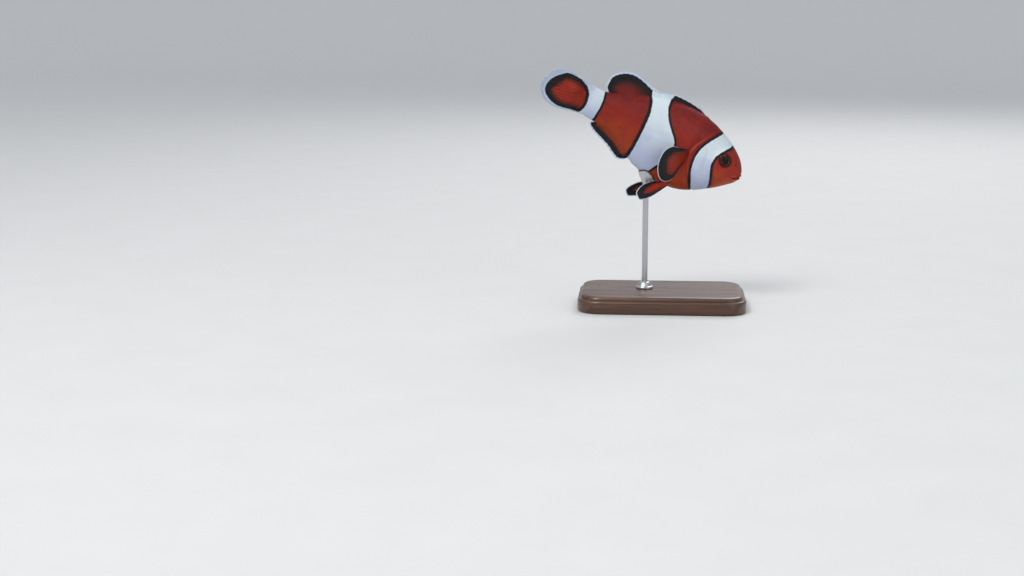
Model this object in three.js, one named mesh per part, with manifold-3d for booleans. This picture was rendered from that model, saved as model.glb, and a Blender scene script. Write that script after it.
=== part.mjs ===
// A life-size clownfish (Amphiprion ocellaris) on a plain display stand.
// The fish is shaped straight, in hundredths of its standard length, and is then
// bent and tilted into its pose.  Straight space is (s, h, l): s runs back from
// the snout, h up from the body's axis, l towards the fish's left side.
import * as THREE from 'three';
import { mergeVertices } from 'three/addons/utils/BufferGeometryUtils.js';
import Module from 'manifold-3d';

const wasm = await Module();
wasm.setup();

// ---------------------------------------------------------------- dimensions
const STANDARD_LENGTH = 64; // mm, snout to the end of the tail stem
const UNIT = STANDARD_LENGTH / 100; // mm in one hundredth of that length
const CLEARANCE = 0.3; // mm between neighbouring pieces
const GAP = CLEARANCE / UNIT;

const YAW = 20.3; // degrees the nose turns away from the viewer's side
const PITCH = 27.9; // degrees the nose dips
const HEAD_TURN = 12.1; // degrees the head bends to the fish's right
const TAIL_TURN = 15; // degrees the tail bends to the fish's right
const FIN_TURN = 3; // degrees more in the tail fin itself
const FIN_DROOP = 16.5; // degrees the tail fin droops by its margin
const PIVOT = 55; // s of the point that the pose turns about
const PIVOT_HEIGHT = 60; // mm from the floor to that point
const HEAD_BEND = { from: PIVOT, over: 30 }; // s where the bend begins, and its span
const TAIL_BEND = { from: 60, over: 67 };
const FIN_BEND = { from: 92, over: 35 };

const BODY_END = 100; // s where the tail stem ends
const STEM_START = 88; // s where the tail stem begins
const RINGS = 32; // body facets from snout to tail
const SIDES = 28; // body facets round each section
const SNOUT_CROWDING = 1.5; // how much closer the facets lie towards the snout
const SECTION_POWER = 2.3; // fullness of a body section, 2 is an ellipse
const STEM_CAP = 0.6; // how far the end of the tail stem is domed

const EYE = { s: 13.1, h: 5.1, radius: 3.8, depth: 2.5, bulge: 1.25 };
const LIP = { radius: 0.62, reach: 0.92, sunk: 0.25 }; // reach is a share of the mouth
const GILL_PLATE = 1.9; // thickness of a gill cover
const GILL_THROAT = { s: 19.4, h: -15.3, l: 2.6 }; // lowest point of a gill cover's front
const FIN_BASE = 1.35; // fin thickness at its foot, 0.86 mm
const FIN_EDGE = 0.82; // fin thickness at its margin, 0.52 mm
const RAY_RIDGE = 0.16; // how far a ray stands over the membrane
const FIN_ROOT = { back: 1.1, pectoral: 0.9, pelvic: 1.6 }; // depth of a foot in the body
const FIN_CLOSING = 0.25; // how much less a paired fin spreads at its margin
const TAIL_FOOT = { s: 98.4, curve: 3.8, top: 7.1, bottom: -8.1 };

const BASE = { length: 58, width: 38, thickness: 6, corner: 8, bevel: 0.8 };
const ROD = { radius: 1, socket: 3.2, s: 47 };
const SADDLE = { radius: 2.8, height: 2.2 };
const COLLAR = { radius: 3, height: 2.2 };
const BASE_OFFSET = 6; // mm from the rod to the base's centre, towards the head

// ------------------------------------------------------------------- helpers
const radians = THREE.MathUtils.degToRad;
const lerp = THREE.MathUtils.lerp;
const clamp = THREE.MathUtils.clamp;

// A smooth curve through [x, y] points that never overshoots them.
function profile(points) {
  const count = points.length;
  const step = (i) => points[i + 1][0] - points[i][0];
  const rise = (i) => (points[i + 1][1] - points[i][1]) / step(i);
  const slopes = points.map((_, i) => {
    if (i === 0) return rise(0);
    if (i === count - 1) return rise(count - 2);
    const before = rise(i - 1);
    const after = rise(i);
    if (before * after <= 0) return 0;
    const first = 2 * step(i) + step(i - 1);
    const second = step(i) + 2 * step(i - 1);
    return (first + second) / (first / before + second / after);
  });
  return (x) => {
    const at = clamp(x, points[0][0], points[count - 1][0]);
    let i = 0;
    while (i < count - 2 && at > points[i + 1][0]) i += 1;
    const width = step(i);
    const t = (at - points[i][0]) / width;
    return (
      (2 * t ** 3 - 3 * t ** 2 + 1) * points[i][1] +
      (t ** 3 - 2 * t ** 2 + t) * width * slopes[i] +
      (3 * t ** 2 - 2 * t ** 3) * points[i + 1][1] +
      (t ** 3 - t ** 2) * width * slopes[i + 1]
    );
  };
}

// Moves every corner of a geometry to the place that move(point) gives.
function reshape(geometry, move) {
  const position = geometry.attributes.position;
  const point = new THREE.Vector3();
  for (let i = 0; i < position.count; i += 1) {
    point.fromBufferAttribute(position, i);
    const moved = move(point);
    position.setXYZ(i, moved.x, moved.y, moved.z);
  }
  return geometry;
}

// A closed geometry as a solid that can be joined and cut.
function solidOf(geometry) {
  const bare = geometry.clone();
  bare.deleteAttribute('normal');
  bare.deleteAttribute('uv');
  const welded = mergeVertices(bare, 1e-4);
  return new wasm.Manifold(
    new wasm.Mesh({
      numProp: 3,
      vertProperties: Float32Array.from(welded.attributes.position.array),
      triVerts: Uint32Array.from(welded.index.array),
    }),
  );
}

function geometryOf(solid) {
  const mesh = solid.getMesh();
  const geometry = new THREE.BufferGeometry();
  const corners = new THREE.BufferAttribute(Float32Array.from(mesh.vertProperties), 3);
  geometry.setAttribute('position', corners);
  geometry.setIndex(Array.from(mesh.triVerts));
  return geometry;
}

// ---------------------------------------------------------------- body shape
const back = profile([
  [0, 2], [0.5, 3.9], [2, 6.9], [4.7, 10.2], [9, 13.6], [14, 16.6], [20, 19.2], [26, 21.3],
  [33, 22.6], [40, 22.8], [48, 22], [56, 20.3], [64, 17.8], [72, 14.7], [80, 11.3], [86, 9],
  [92, 7.9], [100, 7.7],
]);
const belly = profile([
  [0, 1], [0.5, -0.5], [2, -2.6], [5.6, -6], [9, -8.9], [14, -12.6], [20, -16.4],
  [26, -19.2], [33, -20.9], [40, -21.5], [48, -21.1], [56, -19.2], [64, -15.8], [72, -12.3],
  [80, -9.6], [86, -8.9], [92, -8.7], [100, -8.5],
]);
const halfWidth = profile([
  [0, 0.8], [0.5, 2.3], [2, 4.1], [4.5, 5.7], [9, 7.5], [14, 8.8], [20, 9.7], [26, 10],
  [33, 9.9], [40, 9.4], [48, 8.6], [56, 7.5], [64, 6.3], [72, 5.1], [80, 4], [88, 3],
  [94, 2.3], [100, 1.7],
]);

// How far the flank stands out from the middle plane at a height.
function flank(s, h) {
  const middle = (back(s) + belly(s)) / 2;
  const half = (back(s) - belly(s)) / 2;
  const across = clamp(Math.abs(h - middle) / half, 0, 1);
  return halfWidth(s) * Math.sqrt(1 - across ** SECTION_POWER);
}

// The whole body without fins, made larger or smaller all over by grow.
function bodyGeometry(grow) {
  const lastRing = (RINGS - 1) / RINGS;
  return reshape(new THREE.SphereGeometry(1, SIDES, RINGS), ({ x, y, z }) => {
    const along = Math.acos(clamp(y, -1, 1)) / Math.PI;
    const around = Math.atan2(x, z);
    const s = BODY_END * Math.min(1, along / lastRing) ** SNOUT_CROWDING;
    const atPole = along < 1e-4 || along > 1 - 1e-4;
    const middle = (back(s) + belly(s)) / 2;
    const half = (back(s) - belly(s)) / 2 + grow;
    const across = Math.sin(around);
    const side = Math.sign(Math.cos(around)) * Math.sqrt(Math.max(0, 1 - Math.abs(across) ** SECTION_POWER));
    const cap = along > 1 - 1e-4 ? STEM_CAP : 0;
    return new THREE.Vector3(
      (s * (BODY_END + 2 * grow)) / BODY_END - grow + cap,
      atPole ? middle : middle + half * across,
      atPole ? 0 : (halfWidth(s) + grow) * side,
    );
  });
}

// ----------------------------------------------------------------- cut lines
const line = (points) => new THREE.SplineCurve(points.map(([s, h]) => new THREE.Vector2(s, h)));

// Points moved sideways off a line, to its left as it is travelled.
function offset(points, distance) {
  return points.map((point, i) => {
    const before = points[Math.max(i - 1, 0)];
    const after = points[Math.min(i + 1, points.length - 1)];
    const along = after.clone().sub(before).normalize();
    return new THREE.Vector2(point.x - along.y * distance, point.y + along.x * distance);
  });
}

const FAR = 30; // outside the fish above, below and on both sides
const corner = (s, h) => new THREE.Vector2(s, h);

// A solid with the given side-view outline, from one l to another.
function prism(outline, from = -FAR, to = FAR) {
  const shape = new THREE.Shape(outline);
  const geometry = new THREE.ExtrudeGeometry(shape, { depth: to - from, bevelEnabled: false });
  return solidOf(geometry.translate(0, 0, from));
}

// The gill opening, from the nape down to the throat.
const gillLine = line([
  [25.5, FAR], [26, 15], [28.6, 9.8], [31.6, 4.8], [32.6, -0.5], [31.6, -6], [28, -11.2],
  [22.8, -15], [18.6, -18.6], [17.5, -FAR],
]).getPoints(16);

// The edge of the cheek that the gill cover hinges on.
const cheekLine = line([
  [24.4, 9.4], [22.6, 5.5], [21.7, 0], [20.8, -4.5], [18.4, -8.4], [15.2, -11.2],
]).getPoints(8);

// The closed mouth, then the back of the lower jaw.
const MOUTH_FRONT = [0, 1.5];
const MOUTH_CORNER = [5, -1.9];
const mouthSlope = (MOUTH_CORNER[1] - MOUTH_FRONT[1]) / MOUTH_CORNER[0];
const mouthAhead = [-3, MOUTH_FRONT[1] - 3 * mouthSlope];
const jawLine = [mouthAhead, MOUTH_CORNER, [7.6, -5], [9.6, -14]].map(([s, h]) => corner(s, h));

function gillPrism(grow, left) {
  const front = offset(cheekLine, -grow);
  const outline = [
    ...front,
    corner(GILL_THROAT.s - grow, GILL_THROAT.h - grow),
    corner(GILL_THROAT.s + 2, -FAR),
    corner(FAR * 2, -FAR),
    corner(FAR * 2, cheekLine[0].y + grow),
  ];
  const inner = GILL_THROAT.l - grow;
  return left ? prism(outline, inner, FAR) : prism(outline, -FAR, -inner);
}

// --------------------------------------------------------------- head pieces
function eyeSolid(side, grow) {
  const reach = 0.5;
  const out = (s, h) => new THREE.Vector3(s, h, side * flank(s, h));
  const alongS = out(EYE.s + reach, EYE.h).sub(out(EYE.s - reach, EYE.h));
  const alongH = out(EYE.s, EYE.h + reach).sub(out(EYE.s, EYE.h - reach));
  const outward = alongS.cross(alongH).normalize().multiplyScalar(side);
  const centre = out(EYE.s, EYE.h).addScaledVector(outward, EYE.bulge - EYE.depth);
  const geometry = new THREE.SphereGeometry(1, 14, 8);
  geometry.scale(EYE.radius + grow, EYE.radius + grow, EYE.depth + grow);
  geometry.applyQuaternion(
    new THREE.Quaternion().setFromUnitVectors(new THREE.Vector3(0, 0, side), outward),
  );
  return solidOf(geometry.translate(centre.x, centre.y, centre.z));
}

// A fleshy lip round the mouth, above the closed line or below it.
function lipSolid(rise, setback) {
  const points = [];
  const steps = 10;
  for (let i = 0; i <= steps; i += 1) {
    const turn = (i / steps - 0.5) * Math.PI;
    const s = MOUTH_CORNER[0] * (1 - Math.cos(turn)) * LIP.reach;
    const h = MOUTH_FRONT[1] + mouthSlope * s;
    const width = flank(Math.max(s, 0.05), h) - LIP.sunk;
    points.push(new THREE.Vector3(s + setback, h + rise, Math.sin(turn) * width));
  }
  const path = new THREE.CatmullRomCurve3(points);
  const section = new THREE.Shape().absarc(0, 0, LIP.radius, 0, 2 * Math.PI);
  const options = { steps: 10, curveSegments: 6, extrudePath: path, bevelEnabled: false };
  return solidOf(new THREE.ExtrudeGeometry(section, options));
}

// ---------------------------------------------------------------------- fins
// A fin is a blade between its foot and its margin.  place(u, v) is a point of
// its middle surface, with u from the first ray to the last and v from foot to
// margin.  The rays stand a little proud of the membrane on both faces.
function finGeometry(rays, bands, place) {
  const facets = 2 * (rays - 1);
  const blade = new THREE.BoxGeometry(1, 1, 1, facets, bands, 1);
  const tiny = 1e-3;
  return reshape(blade, ({ x, y, z }) => {
    const u = clamp(x + 0.5, 0, 1);
    const v = clamp(y + 0.5, 0, 1);
    const acrossRays = place(Math.min(u + tiny, 1), v).sub(place(Math.max(u - tiny, 0), v));
    const alongRay = place(u, Math.min(v + tiny, 1)).sub(place(u, Math.max(v - tiny, 0)));
    const normal = acrossRays.cross(alongRay).normalize();
    const onRay = Math.round(u * facets) % 2 === 0;
    const thickness = lerp(FIN_BASE, FIN_EDGE, v) + (onRay ? RAY_RIDGE : 0);
    return place(u, v).addScaledVector(normal, z * thickness);
  });
}

// A fin of the middle line, from its foot to an outline drawn by a few tips.
// The membrane dips between the rays by scallop.
function medianFin(rays, bands, foot, tips, scallop) {
  const margin = line(tips);
  return finGeometry(rays, bands, (u, v) => {
    const start = foot(u);
    const tip = margin.getPoint(u);
    const dip = scallop * Math.sin(u * (rays - 1) * Math.PI) ** 2;
    const reach = v * (1 - dip / Math.max(tip.distanceTo(start), 1));
    const point = start.clone().lerp(tip, reach);
    return new THREE.Vector3(point.x, point.y, 0);
  });
}

const footOnBack = (from, to) => (u) => {
  const s = lerp(from, to, u);
  return corner(s, back(s) - FIN_ROOT.back);
};
const footOnBelly = (from, to) => (u) => {
  const s = lerp(from, to, u);
  return corner(s, belly(s) + FIN_ROOT.back);
};
const footOnStem = (u) => {
  const fromMiddle = Math.abs(2 * u - 1);
  return corner(TAIL_FOOT.s - TAIL_FOOT.curve * fromMiddle ** 3, lerp(TAIL_FOOT.top, TAIL_FOOT.bottom, u));
};

// A paired fin fans out from a foot on the flank.
function pairedFin({ rays, bands, foot, angles, spreads, lengths, side }) {
  const reach = profile(lengths);
  return finGeometry(rays, bands, (u, v) => {
    const along = side > 0 ? u : 1 - u;
    const start = foot(along);
    const angle = radians(lerp(angles[0], angles[1], along));
    const spread = radians(lerp(spreads[0], spreads[1], along)) * (1 - FIN_CLOSING * v);
    const distance = reach(along) * v;
    return new THREE.Vector3(
      start.x + distance * Math.cos(angle) * Math.cos(spread),
      start.y + distance * Math.sin(angle),
      side * (start.z + distance * Math.cos(angle) * Math.sin(spread)),
    );
  });
}

const pectoral = (side) => pairedFin({
  rays: 17,
  bands: 3,
  foot: (u) => {
    const s = lerp(34.7, 34, u);
    const h = lerp(1.2, -7, u);
    return new THREE.Vector3(s, h, flank(s, h) - FIN_ROOT.pectoral);
  },
  angles: [-12, -84],
  spreads: [42, 42],
  lengths: [[0, 17], [0.12, 21], [0.3, 23], [0.5, 21.5], [0.72, 17.5], [0.88, 13], [1, 9.5]],
  side,
});

const pelvic = (side) => pairedFin({
  rays: 6,
  bands: 3,
  foot: (u) => {
    const s = lerp(34, 37, u);
    const l = lerp(4.4, 2.4, u);
    return new THREE.Vector3(s, belly(s) + FIN_ROOT.pelvic, l);
  },
  angles: [-52, -24],
  spreads: [38, 14],
  lengths: [[0, 15.5], [0.2, 21.5], [0.45, 21], [0.75, 16], [1, 11]],
  side,
});

// ---------------------------------------------------------------------- pose
// The backbone is walked in small steps: each turns sideways and droops.
const WALK = { from: -10, to: 135, step: 0.5 };
const smooth = (t) => t * t * (3 - 2 * t);
const bendShare = (s, { from, over }) => clamp((s - from) / over, 0, 1.2);
const headingAt = (s) => {
  const head = clamp((HEAD_BEND.from - s) / HEAD_BEND.over, 0, 1);
  const tail = bendShare(s, TAIL_BEND);
  const fin = bendShare(s, FIN_BEND);
  return radians((HEAD_TURN * (head + smooth(head))) / 2 - TAIL_TURN * tail - FIN_TURN * fin);
};
const droopAt = (s) => radians(FIN_DROOP * bendShare(s, FIN_BEND));

// The way back along the body, in the fish's own frame: x ahead, y left, z up.
function backward(s) {
  const turn = headingAt(s);
  const droop = droopAt(s);
  return new THREE.Vector3(
    -Math.cos(turn) * Math.cos(droop),
    Math.sin(turn) * Math.cos(droop),
    -Math.sin(droop),
  );
}

const spine = [new THREE.Vector3()];
for (let s = WALK.from; s < WALK.to; s += WALK.step) {
  spine.push(spine[spine.length - 1].clone().addScaledVector(backward(s + WALK.step / 2), WALK.step));
}
const spinePoint = (s) => {
  const at = (s - WALK.from) / WALK.step;
  const i = clamp(Math.floor(at), 0, spine.length - 2);
  return spine[i].clone().lerp(spine[i + 1], at - i);
};
const pivot = spinePoint(PIVOT);

// Straight space to the fish's own frame, in millimetres.
function bend({ x: s, y: h, z: l }) {
  const behind = backward(s);
  const left = new THREE.Vector3(Math.sin(headingAt(s)), Math.cos(headingAt(s)), 0);
  const up = left.clone().cross(behind);
  return spinePoint(s).sub(pivot).addScaledVector(up, h).addScaledVector(left, l).multiplyScalar(UNIT);
}

// The fish's own frame to the floor's: x to the viewer's right, z up.
const fish = new THREE.Group();
fish.rotation.set(0, radians(PITCH), radians(YAW), 'ZYX');
fish.position.z = PIVOT_HEIGHT;
fish.updateMatrixWorld();

// ------------------------------------------------------------------ the fish
const scaleSkin = new THREE.MeshStandardMaterial({ color: 0xe2541a, roughness: 0.45, metalness: 0 });
const gillSkin = new THREE.MeshStandardMaterial({ color: 0xd94f1c, roughness: 0.4, metalness: 0 });
const finSkin = new THREE.MeshStandardMaterial({ color: 0xd8481a, roughness: 0.4, metalness: 0 });
const eyeball = new THREE.MeshStandardMaterial({ color: 0x1a1210, roughness: 0.08, metalness: 0 });
const darkWood = new THREE.MeshStandardMaterial({ color: 0x3a2519, roughness: 0.4, metalness: 0 });
const steel = new THREE.MeshStandardMaterial({ color: 0xb9bcc0, roughness: 0.3, metalness: 1 });

function addPiece(parent, name, geometry, material) {
  geometry.computeVertexNormals();
  const mesh = new THREE.Mesh(geometry, material);
  mesh.name = name;
  parent.add(mesh);
}
const addFishPiece = (name, solid, material) => {
  addPiece(fish, name, reshape(geometryOf(solid), bend), material);
};

const cavity = solidOf(bodyGeometry(-GILL_PLATE));
const deepCavity = solidOf(bodyGeometry(-GILL_PLATE - GAP));
const clearance = solidOf(bodyGeometry(GAP));
const wholeBody = solidOf(bodyGeometry(0)).add(lipSolid(0.5, 0.25)).add(lipSolid(-0.5, 0.5));

const ahead = prism([...gillLine, corner(-FAR, -FAR), corner(-FAR, FAR)]);
const behind = prism([...offset(gillLine, GAP), corner(STEM_START, -FAR), corner(STEM_START, FAR)]);
const jawRegion = prism([...jawLine, corner(-FAR, -FAR), corner(-FAR, jawLine[0].y)]);
const jawClearance = prism([...offset(jawLine, GAP), corner(-FAR, -FAR), corner(-FAR, jawLine[0].y + GAP)]);
const stemFront = STEM_START + GAP;
const stemBack = BODY_END + FAR;
const rearRegion = prism([
  corner(stemFront, -FAR), corner(stemBack, -FAR), corner(stemBack, FAR), corner(stemFront, FAR),
]);

const frontOfBody = wholeBody.intersect(ahead);
let head = frontOfBody.subtract(jawClearance);
for (const [side, letter] of [[1, 'L'], [-1, 'R']]) {
  const plate = gillPrism(0, side > 0).subtract(cavity);
  const recess = gillPrism(GAP, side > 0).subtract(deepCavity);
  head = head.subtract(recess).subtract(eyeSolid(side, GAP));
  addFishPiece(`gill_cover_${letter}`, frontOfBody.intersect(plate), gillSkin);
  addFishPiece(`eye_${letter}`, eyeSolid(side, 0), eyeball);
  addFishPiece(`fin_pectoral_${letter}`, solidOf(pectoral(side)).subtract(clearance), finSkin);
  addFishPiece(`fin_pelvic_${letter}`, solidOf(pelvic(side)).subtract(clearance), finSkin);
}
addFishPiece('head', head, scaleSkin);
addFishPiece('lower_jaw', frontOfBody.intersect(jawRegion), scaleSkin);
addFishPiece('trunk', wholeBody.intersect(behind), scaleSkin);
addFishPiece('tail_stem', wholeBody.intersect(rearRegion), scaleSkin);

const medianFins = {
  fin_dorsal_spiny: medianFin(11, 2, footOnBack(30.5, 60.4), [
    [34, 23.7], [38.5, 24.7], [43, 25.1], [47.3, 25.2], [51.3, 25], [54.8, 24.2], [58.2, 22.8],
    [61, 21.9],
  ], 0.45),
  fin_dorsal_soft: medianFin(15, 3, footOnBack(61.8, 87.6), [
    [62.2, 22.2], [67, 22.8], [72.5, 24], [78, 24.4], [83.2, 23.3], [87.3, 20.9], [90.2, 17.9],
    [91.6, 14.2], [90.9, 10.6],
  ], 0.25),
  fin_anal: medianFin(14, 3, footOnBelly(60.5, 86.8), [
    [63, -19.2], [66.5, -20.4], [70.5, -19.2], [74.5, -17.2], [78.5, -15.7], [82.3, -14.5],
    [86.3, -13.2], [89.4, -11.6], [90.6, -9.9],
  ], 0.25),
  fin_tail: medianFin(17, 5, footOnStem, [
    [111.2, 10.3], [115.4, 10.5], [119.3, 9.4], [122.9, 7.6], [125.6, 5], [127.1, 2.2],
    [127.6, -0.8], [126.9, -3.6], [125, -6.2], [122, -8.2], [118.4, -9.5], [114.4, -10.2],
    [110.2, -10.1],
  ], 0.25),
};
for (const [name, geometry] of Object.entries(medianFins)) {
  addFishPiece(name, solidOf(geometry).subtract(clearance), finSkin);
}

// ----------------------------------------------------------------- the stand
const stand = new THREE.Group();
const rodTop = bend(new THREE.Vector3(ROD.s, belly(ROD.s), 0)).applyMatrix4(fish.matrixWorld);
const posedClearance = solidOf(reshape(bodyGeometry(GAP), bend).applyMatrix4(fish.matrixWorld));

function upright(geometry, bottom) {
  geometry.rotateX(Math.PI / 2);
  geometry.computeBoundingBox();
  return geometry.translate(rodTop.x, rodTop.y, bottom - geometry.boundingBox.min.z);
}

function baseSolid() {
  const x = BASE.length / 2 - BASE.bevel;
  const y = BASE.width / 2 - BASE.bevel;
  const r = BASE.corner;
  const outline = new THREE.Shape();
  outline.absarc(x - r, y - r, r, 0, Math.PI / 2);
  outline.absarc(r - x, y - r, r, Math.PI / 2, Math.PI);
  outline.absarc(r - x, r - y, r, Math.PI, 1.5 * Math.PI);
  outline.absarc(x - r, r - y, r, 1.5 * Math.PI, 2 * Math.PI);
  const plate = new THREE.ExtrudeGeometry(outline, {
    depth: BASE.thickness - 2 * BASE.bevel,
    curveSegments: 5,
    bevelSize: BASE.bevel,
    bevelThickness: BASE.bevel,
    bevelSegments: 1,
  });
  plate.translate(rodTop.x + BASE_OFFSET, rodTop.y, BASE.bevel);
  const bore = ROD.radius + CLEARANCE;
  const socket = new THREE.CylinderGeometry(bore, bore, BASE.thickness, 16);
  return solidOf(plate).subtract(solidOf(upright(socket, BASE.thickness - ROD.socket)));
}

// The rod ends in a shallow saddle, hollowed to the belly.
function rodSolid() {
  const bottom = BASE.thickness - ROD.socket + CLEARANCE;
  const height = rodTop.z - bottom;
  const rod = new THREE.CylinderGeometry(ROD.radius, ROD.radius, height, 16);
  const saddle = new THREE.CylinderGeometry(SADDLE.radius, ROD.radius, SADDLE.height * 2, 16);
  return solidOf(upright(rod, bottom))
    .add(solidOf(upright(saddle, rodTop.z - SADDLE.height)))
    .subtract(posedClearance);
}

function collarSolid() {
  const inner = ROD.radius + CLEARANCE;
  const outline = [
    [inner, 0], [COLLAR.radius, 0], [COLLAR.radius, COLLAR.height * 0.4],
    [COLLAR.radius - 1, COLLAR.height], [inner, COLLAR.height], [inner, 0],
  ].map(([r, z]) => new THREE.Vector2(r, z));
  return solidOf(upright(new THREE.LatheGeometry(outline, 16), BASE.thickness + CLEARANCE));
}

addPiece(stand, 'stand_base', geometryOf(baseSolid()), darkWood);
addPiece(stand, 'stand_collar', geometryOf(collarSolid()), steel);
addPiece(stand, 'stand_rod', geometryOf(rodSolid()), steel);

// The origin is the middle of the base's underside.
const part = new THREE.Group();
part.add(fish, stand);
part.position.set(-rodTop.x - BASE_OFFSET, -rodTop.y, 0);

export default part;
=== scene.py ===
"""A life-size clownfish (Amphiprion ocellaris) on a plain display stand.

The fish is made straight, in hundredths of its standard length, and is then bent
into its pose.  Straight space is (s, h, l): s runs back from the snout, h up from
the body's axis and l towards the fish's left.  Lengths without a unit in their
name are in that unit of 0.64 mm.
"""

import math

import bpy
import numpy as np
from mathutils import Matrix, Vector


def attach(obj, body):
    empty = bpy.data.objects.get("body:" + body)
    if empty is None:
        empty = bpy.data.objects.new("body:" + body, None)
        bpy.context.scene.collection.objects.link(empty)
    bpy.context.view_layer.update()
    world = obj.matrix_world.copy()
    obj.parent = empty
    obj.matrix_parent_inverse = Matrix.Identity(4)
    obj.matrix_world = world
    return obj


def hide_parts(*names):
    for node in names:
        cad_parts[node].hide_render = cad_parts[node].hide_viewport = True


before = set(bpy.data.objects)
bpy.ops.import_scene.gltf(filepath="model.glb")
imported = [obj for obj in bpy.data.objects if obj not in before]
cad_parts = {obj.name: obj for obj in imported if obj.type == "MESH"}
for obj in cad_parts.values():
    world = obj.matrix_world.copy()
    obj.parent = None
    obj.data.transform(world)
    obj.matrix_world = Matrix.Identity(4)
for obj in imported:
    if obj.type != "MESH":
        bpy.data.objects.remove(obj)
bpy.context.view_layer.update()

# -------------------- dimensions
UNIT, MM = 0.00064, 0.001  # metres in one hundredth of the standard length, and in a millimetre
SKIN_END = 101.2  # s where the skin closes inside the tail fin
SECTION_POWER = 2.3  # fullness of a body section, 2 is an ellipse
SIDES = ((1, "L"), (-1, "R"))

YAW, PITCH = 20.3, 27.9  # degrees
HEAD_TURN, TAIL_TURN, FIN_TURN, FIN_DROOP = 12.1, 15.0, 3.0, 16.5  # degrees
PIVOT = 55.0  # s of the point that the pose turns about
PIVOT_HEIGHT_M = 0.060
HEAD_BEND, TAIL_BEND, FIN_BEND = (PIVOT, 30.0), (60.0, 67.0), (92.0, 35.0)  # s, span
ROD_S = 47.0  # s of the belly point that the rod holds
BASE_OFFSET_M = 0.006  # from the rod to the middle of the base

BACK = [
    (0, 2), (0.5, 3.9), (2, 6.9), (4.7, 10.2), (9, 13.6), (14, 16.6), (20, 19.2), (26, 21.3),
    (33, 22.6), (40, 22.8), (48, 22), (56, 20.3), (64, 17.8), (72, 14.7), (80, 11.3), (86, 9),
    (92, 7.9), (100, 7.7),
]
BELLY = [
    (0, 1), (0.5, -0.5), (2, -2.6), (5.6, -6), (9, -8.9), (14, -12.6), (20, -16.4), (26, -19.2),
    (33, -20.9), (40, -21.5), (48, -21.1), (56, -19.2), (64, -15.8), (72, -12.3), (80, -9.6),
    (86, -8.9), (92, -8.7), (100, -8.5),
]
HALF_WIDTH = [
    (0, 0.8), (0.5, 2.3), (2, 4.1), (4.5, 5.7), (9, 7.5), (14, 8.8), (20, 9.7), (26, 10), (33, 9.9),
    (40, 9.4), (48, 8.6), (56, 7.5), (64, 6.3), (72, 5.1), (80, 4), (88, 3), (94, 2.3), (100, 1.7),
]
EYE, EYE_RADIUS, EYE_DEPTH, EYE_BULGE = (13.1, 5.1), 3.8, 2.5, 1.25
MOUTH_FRONT, MOUTH_CORNER = (0.0, 1.5), (5.0, -1.9)
NOSTRIL = (6.3, 5.9)
PORES = [
    (7.6, 2.1), (8.9, 0.2), (10.9, -1.3), (13.2, -1.7), (15.6, -0.9), (17.6, 0.9),
    (4.6, 4.6), (7.2, 8.3), (10.3, 10.9), (14.2, 11.3),
    (4.3, -3.9), (7, -5.9), (9.8, -7.7), (12.8, -8.4), (15.6, -7.4),
]
PECTORAL_FOOT = (34.4, -2.9)

# Lines of the head and flank, drawn in the side view from top to bottom or front to rear.
GILL_EDGE = [
    (25.5, 30), (26, 15), (28.6, 9.8), (31.6, 4.8), (32.6, -0.5), (31.6, -6), (28, -11.2),
    (22.8, -15), (18.6, -18.6), (17.5, -30),
]
CHEEK_EDGE = [(24.4, 9.4), (22.6, 5.5), (21.7, 0), (20.8, -4.5), (18.4, -8.4), (15.2, -11.2)]
FACE_EDGE = [
    (8.5, 18), (9.8, 12), (14.5, 10.4), (18, 7.5), (18.3, 2), (15.5, -1.4), (12.6, -5), (11.4, -9),
    (11, -16),
]
LATERAL_LINE = [(27.5, 11.5), (33, 13.8), (42, 14.9), (52, 14), (62, 11.6), (72, 8.6), (80, 6.3)]

# The white bars: the front and the rear edge of each, drawn from top to bottom, with
# the width of the black line along it.
BARS = [
    ([(8.5, 24), (11.9, 15.4), (15.1, 10.5), (17.6, 7), (18.9, 4.2), (19.4, 0.9), (18.6, -2.5),
      (17.1, -5.8), (14.7, -11), (12.8, -18)], 1.45,
     [(17.2, 24), (20.3, 17.3), (23.7, 12.5), (26.6, 7.8), (28.4, 3.6), (28.9, -1), (27.9, -7),
      (24.8, -13), (21, -18), (18.5, -24)], 1.5),
    ([(51.5, 30), (52.6, 25.3), (54.1, 20.7), (54.9, 17.3), (54.3, 14.1), (53, 11.3), (51.2, 8.8),
      (48.3, 5.8), (44.9, 2.5), (43, -1.5), (43, -5.5), (45, -11), (48, -17), (50, -24)], 1.3,
     [(66.2, 30), (66.3, 24), (65.6, 20.6), (64.6, 17.8), (63.8, 14), (63.1, 9), (62.7, 1.4),
      (62.5, -4.8), (62.3, -11), (61.6, -17), (60.8, -24)], 1.9),
    ([(90.4, 14), (90.4, 8.4), (90.3, 5.1), (89.8, 0.8), (89.9, -3.6), (89.8, -7.8), (89.4, -14)], 1.3,
     [(115.5, 13), (107.5, 9.1), (102.7, 7.2), (98.8, 4.1), (97.4, -1), (98, -6.1), (100.8, -9.3),
      (106.3, -13)], 1.7),
]


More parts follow.
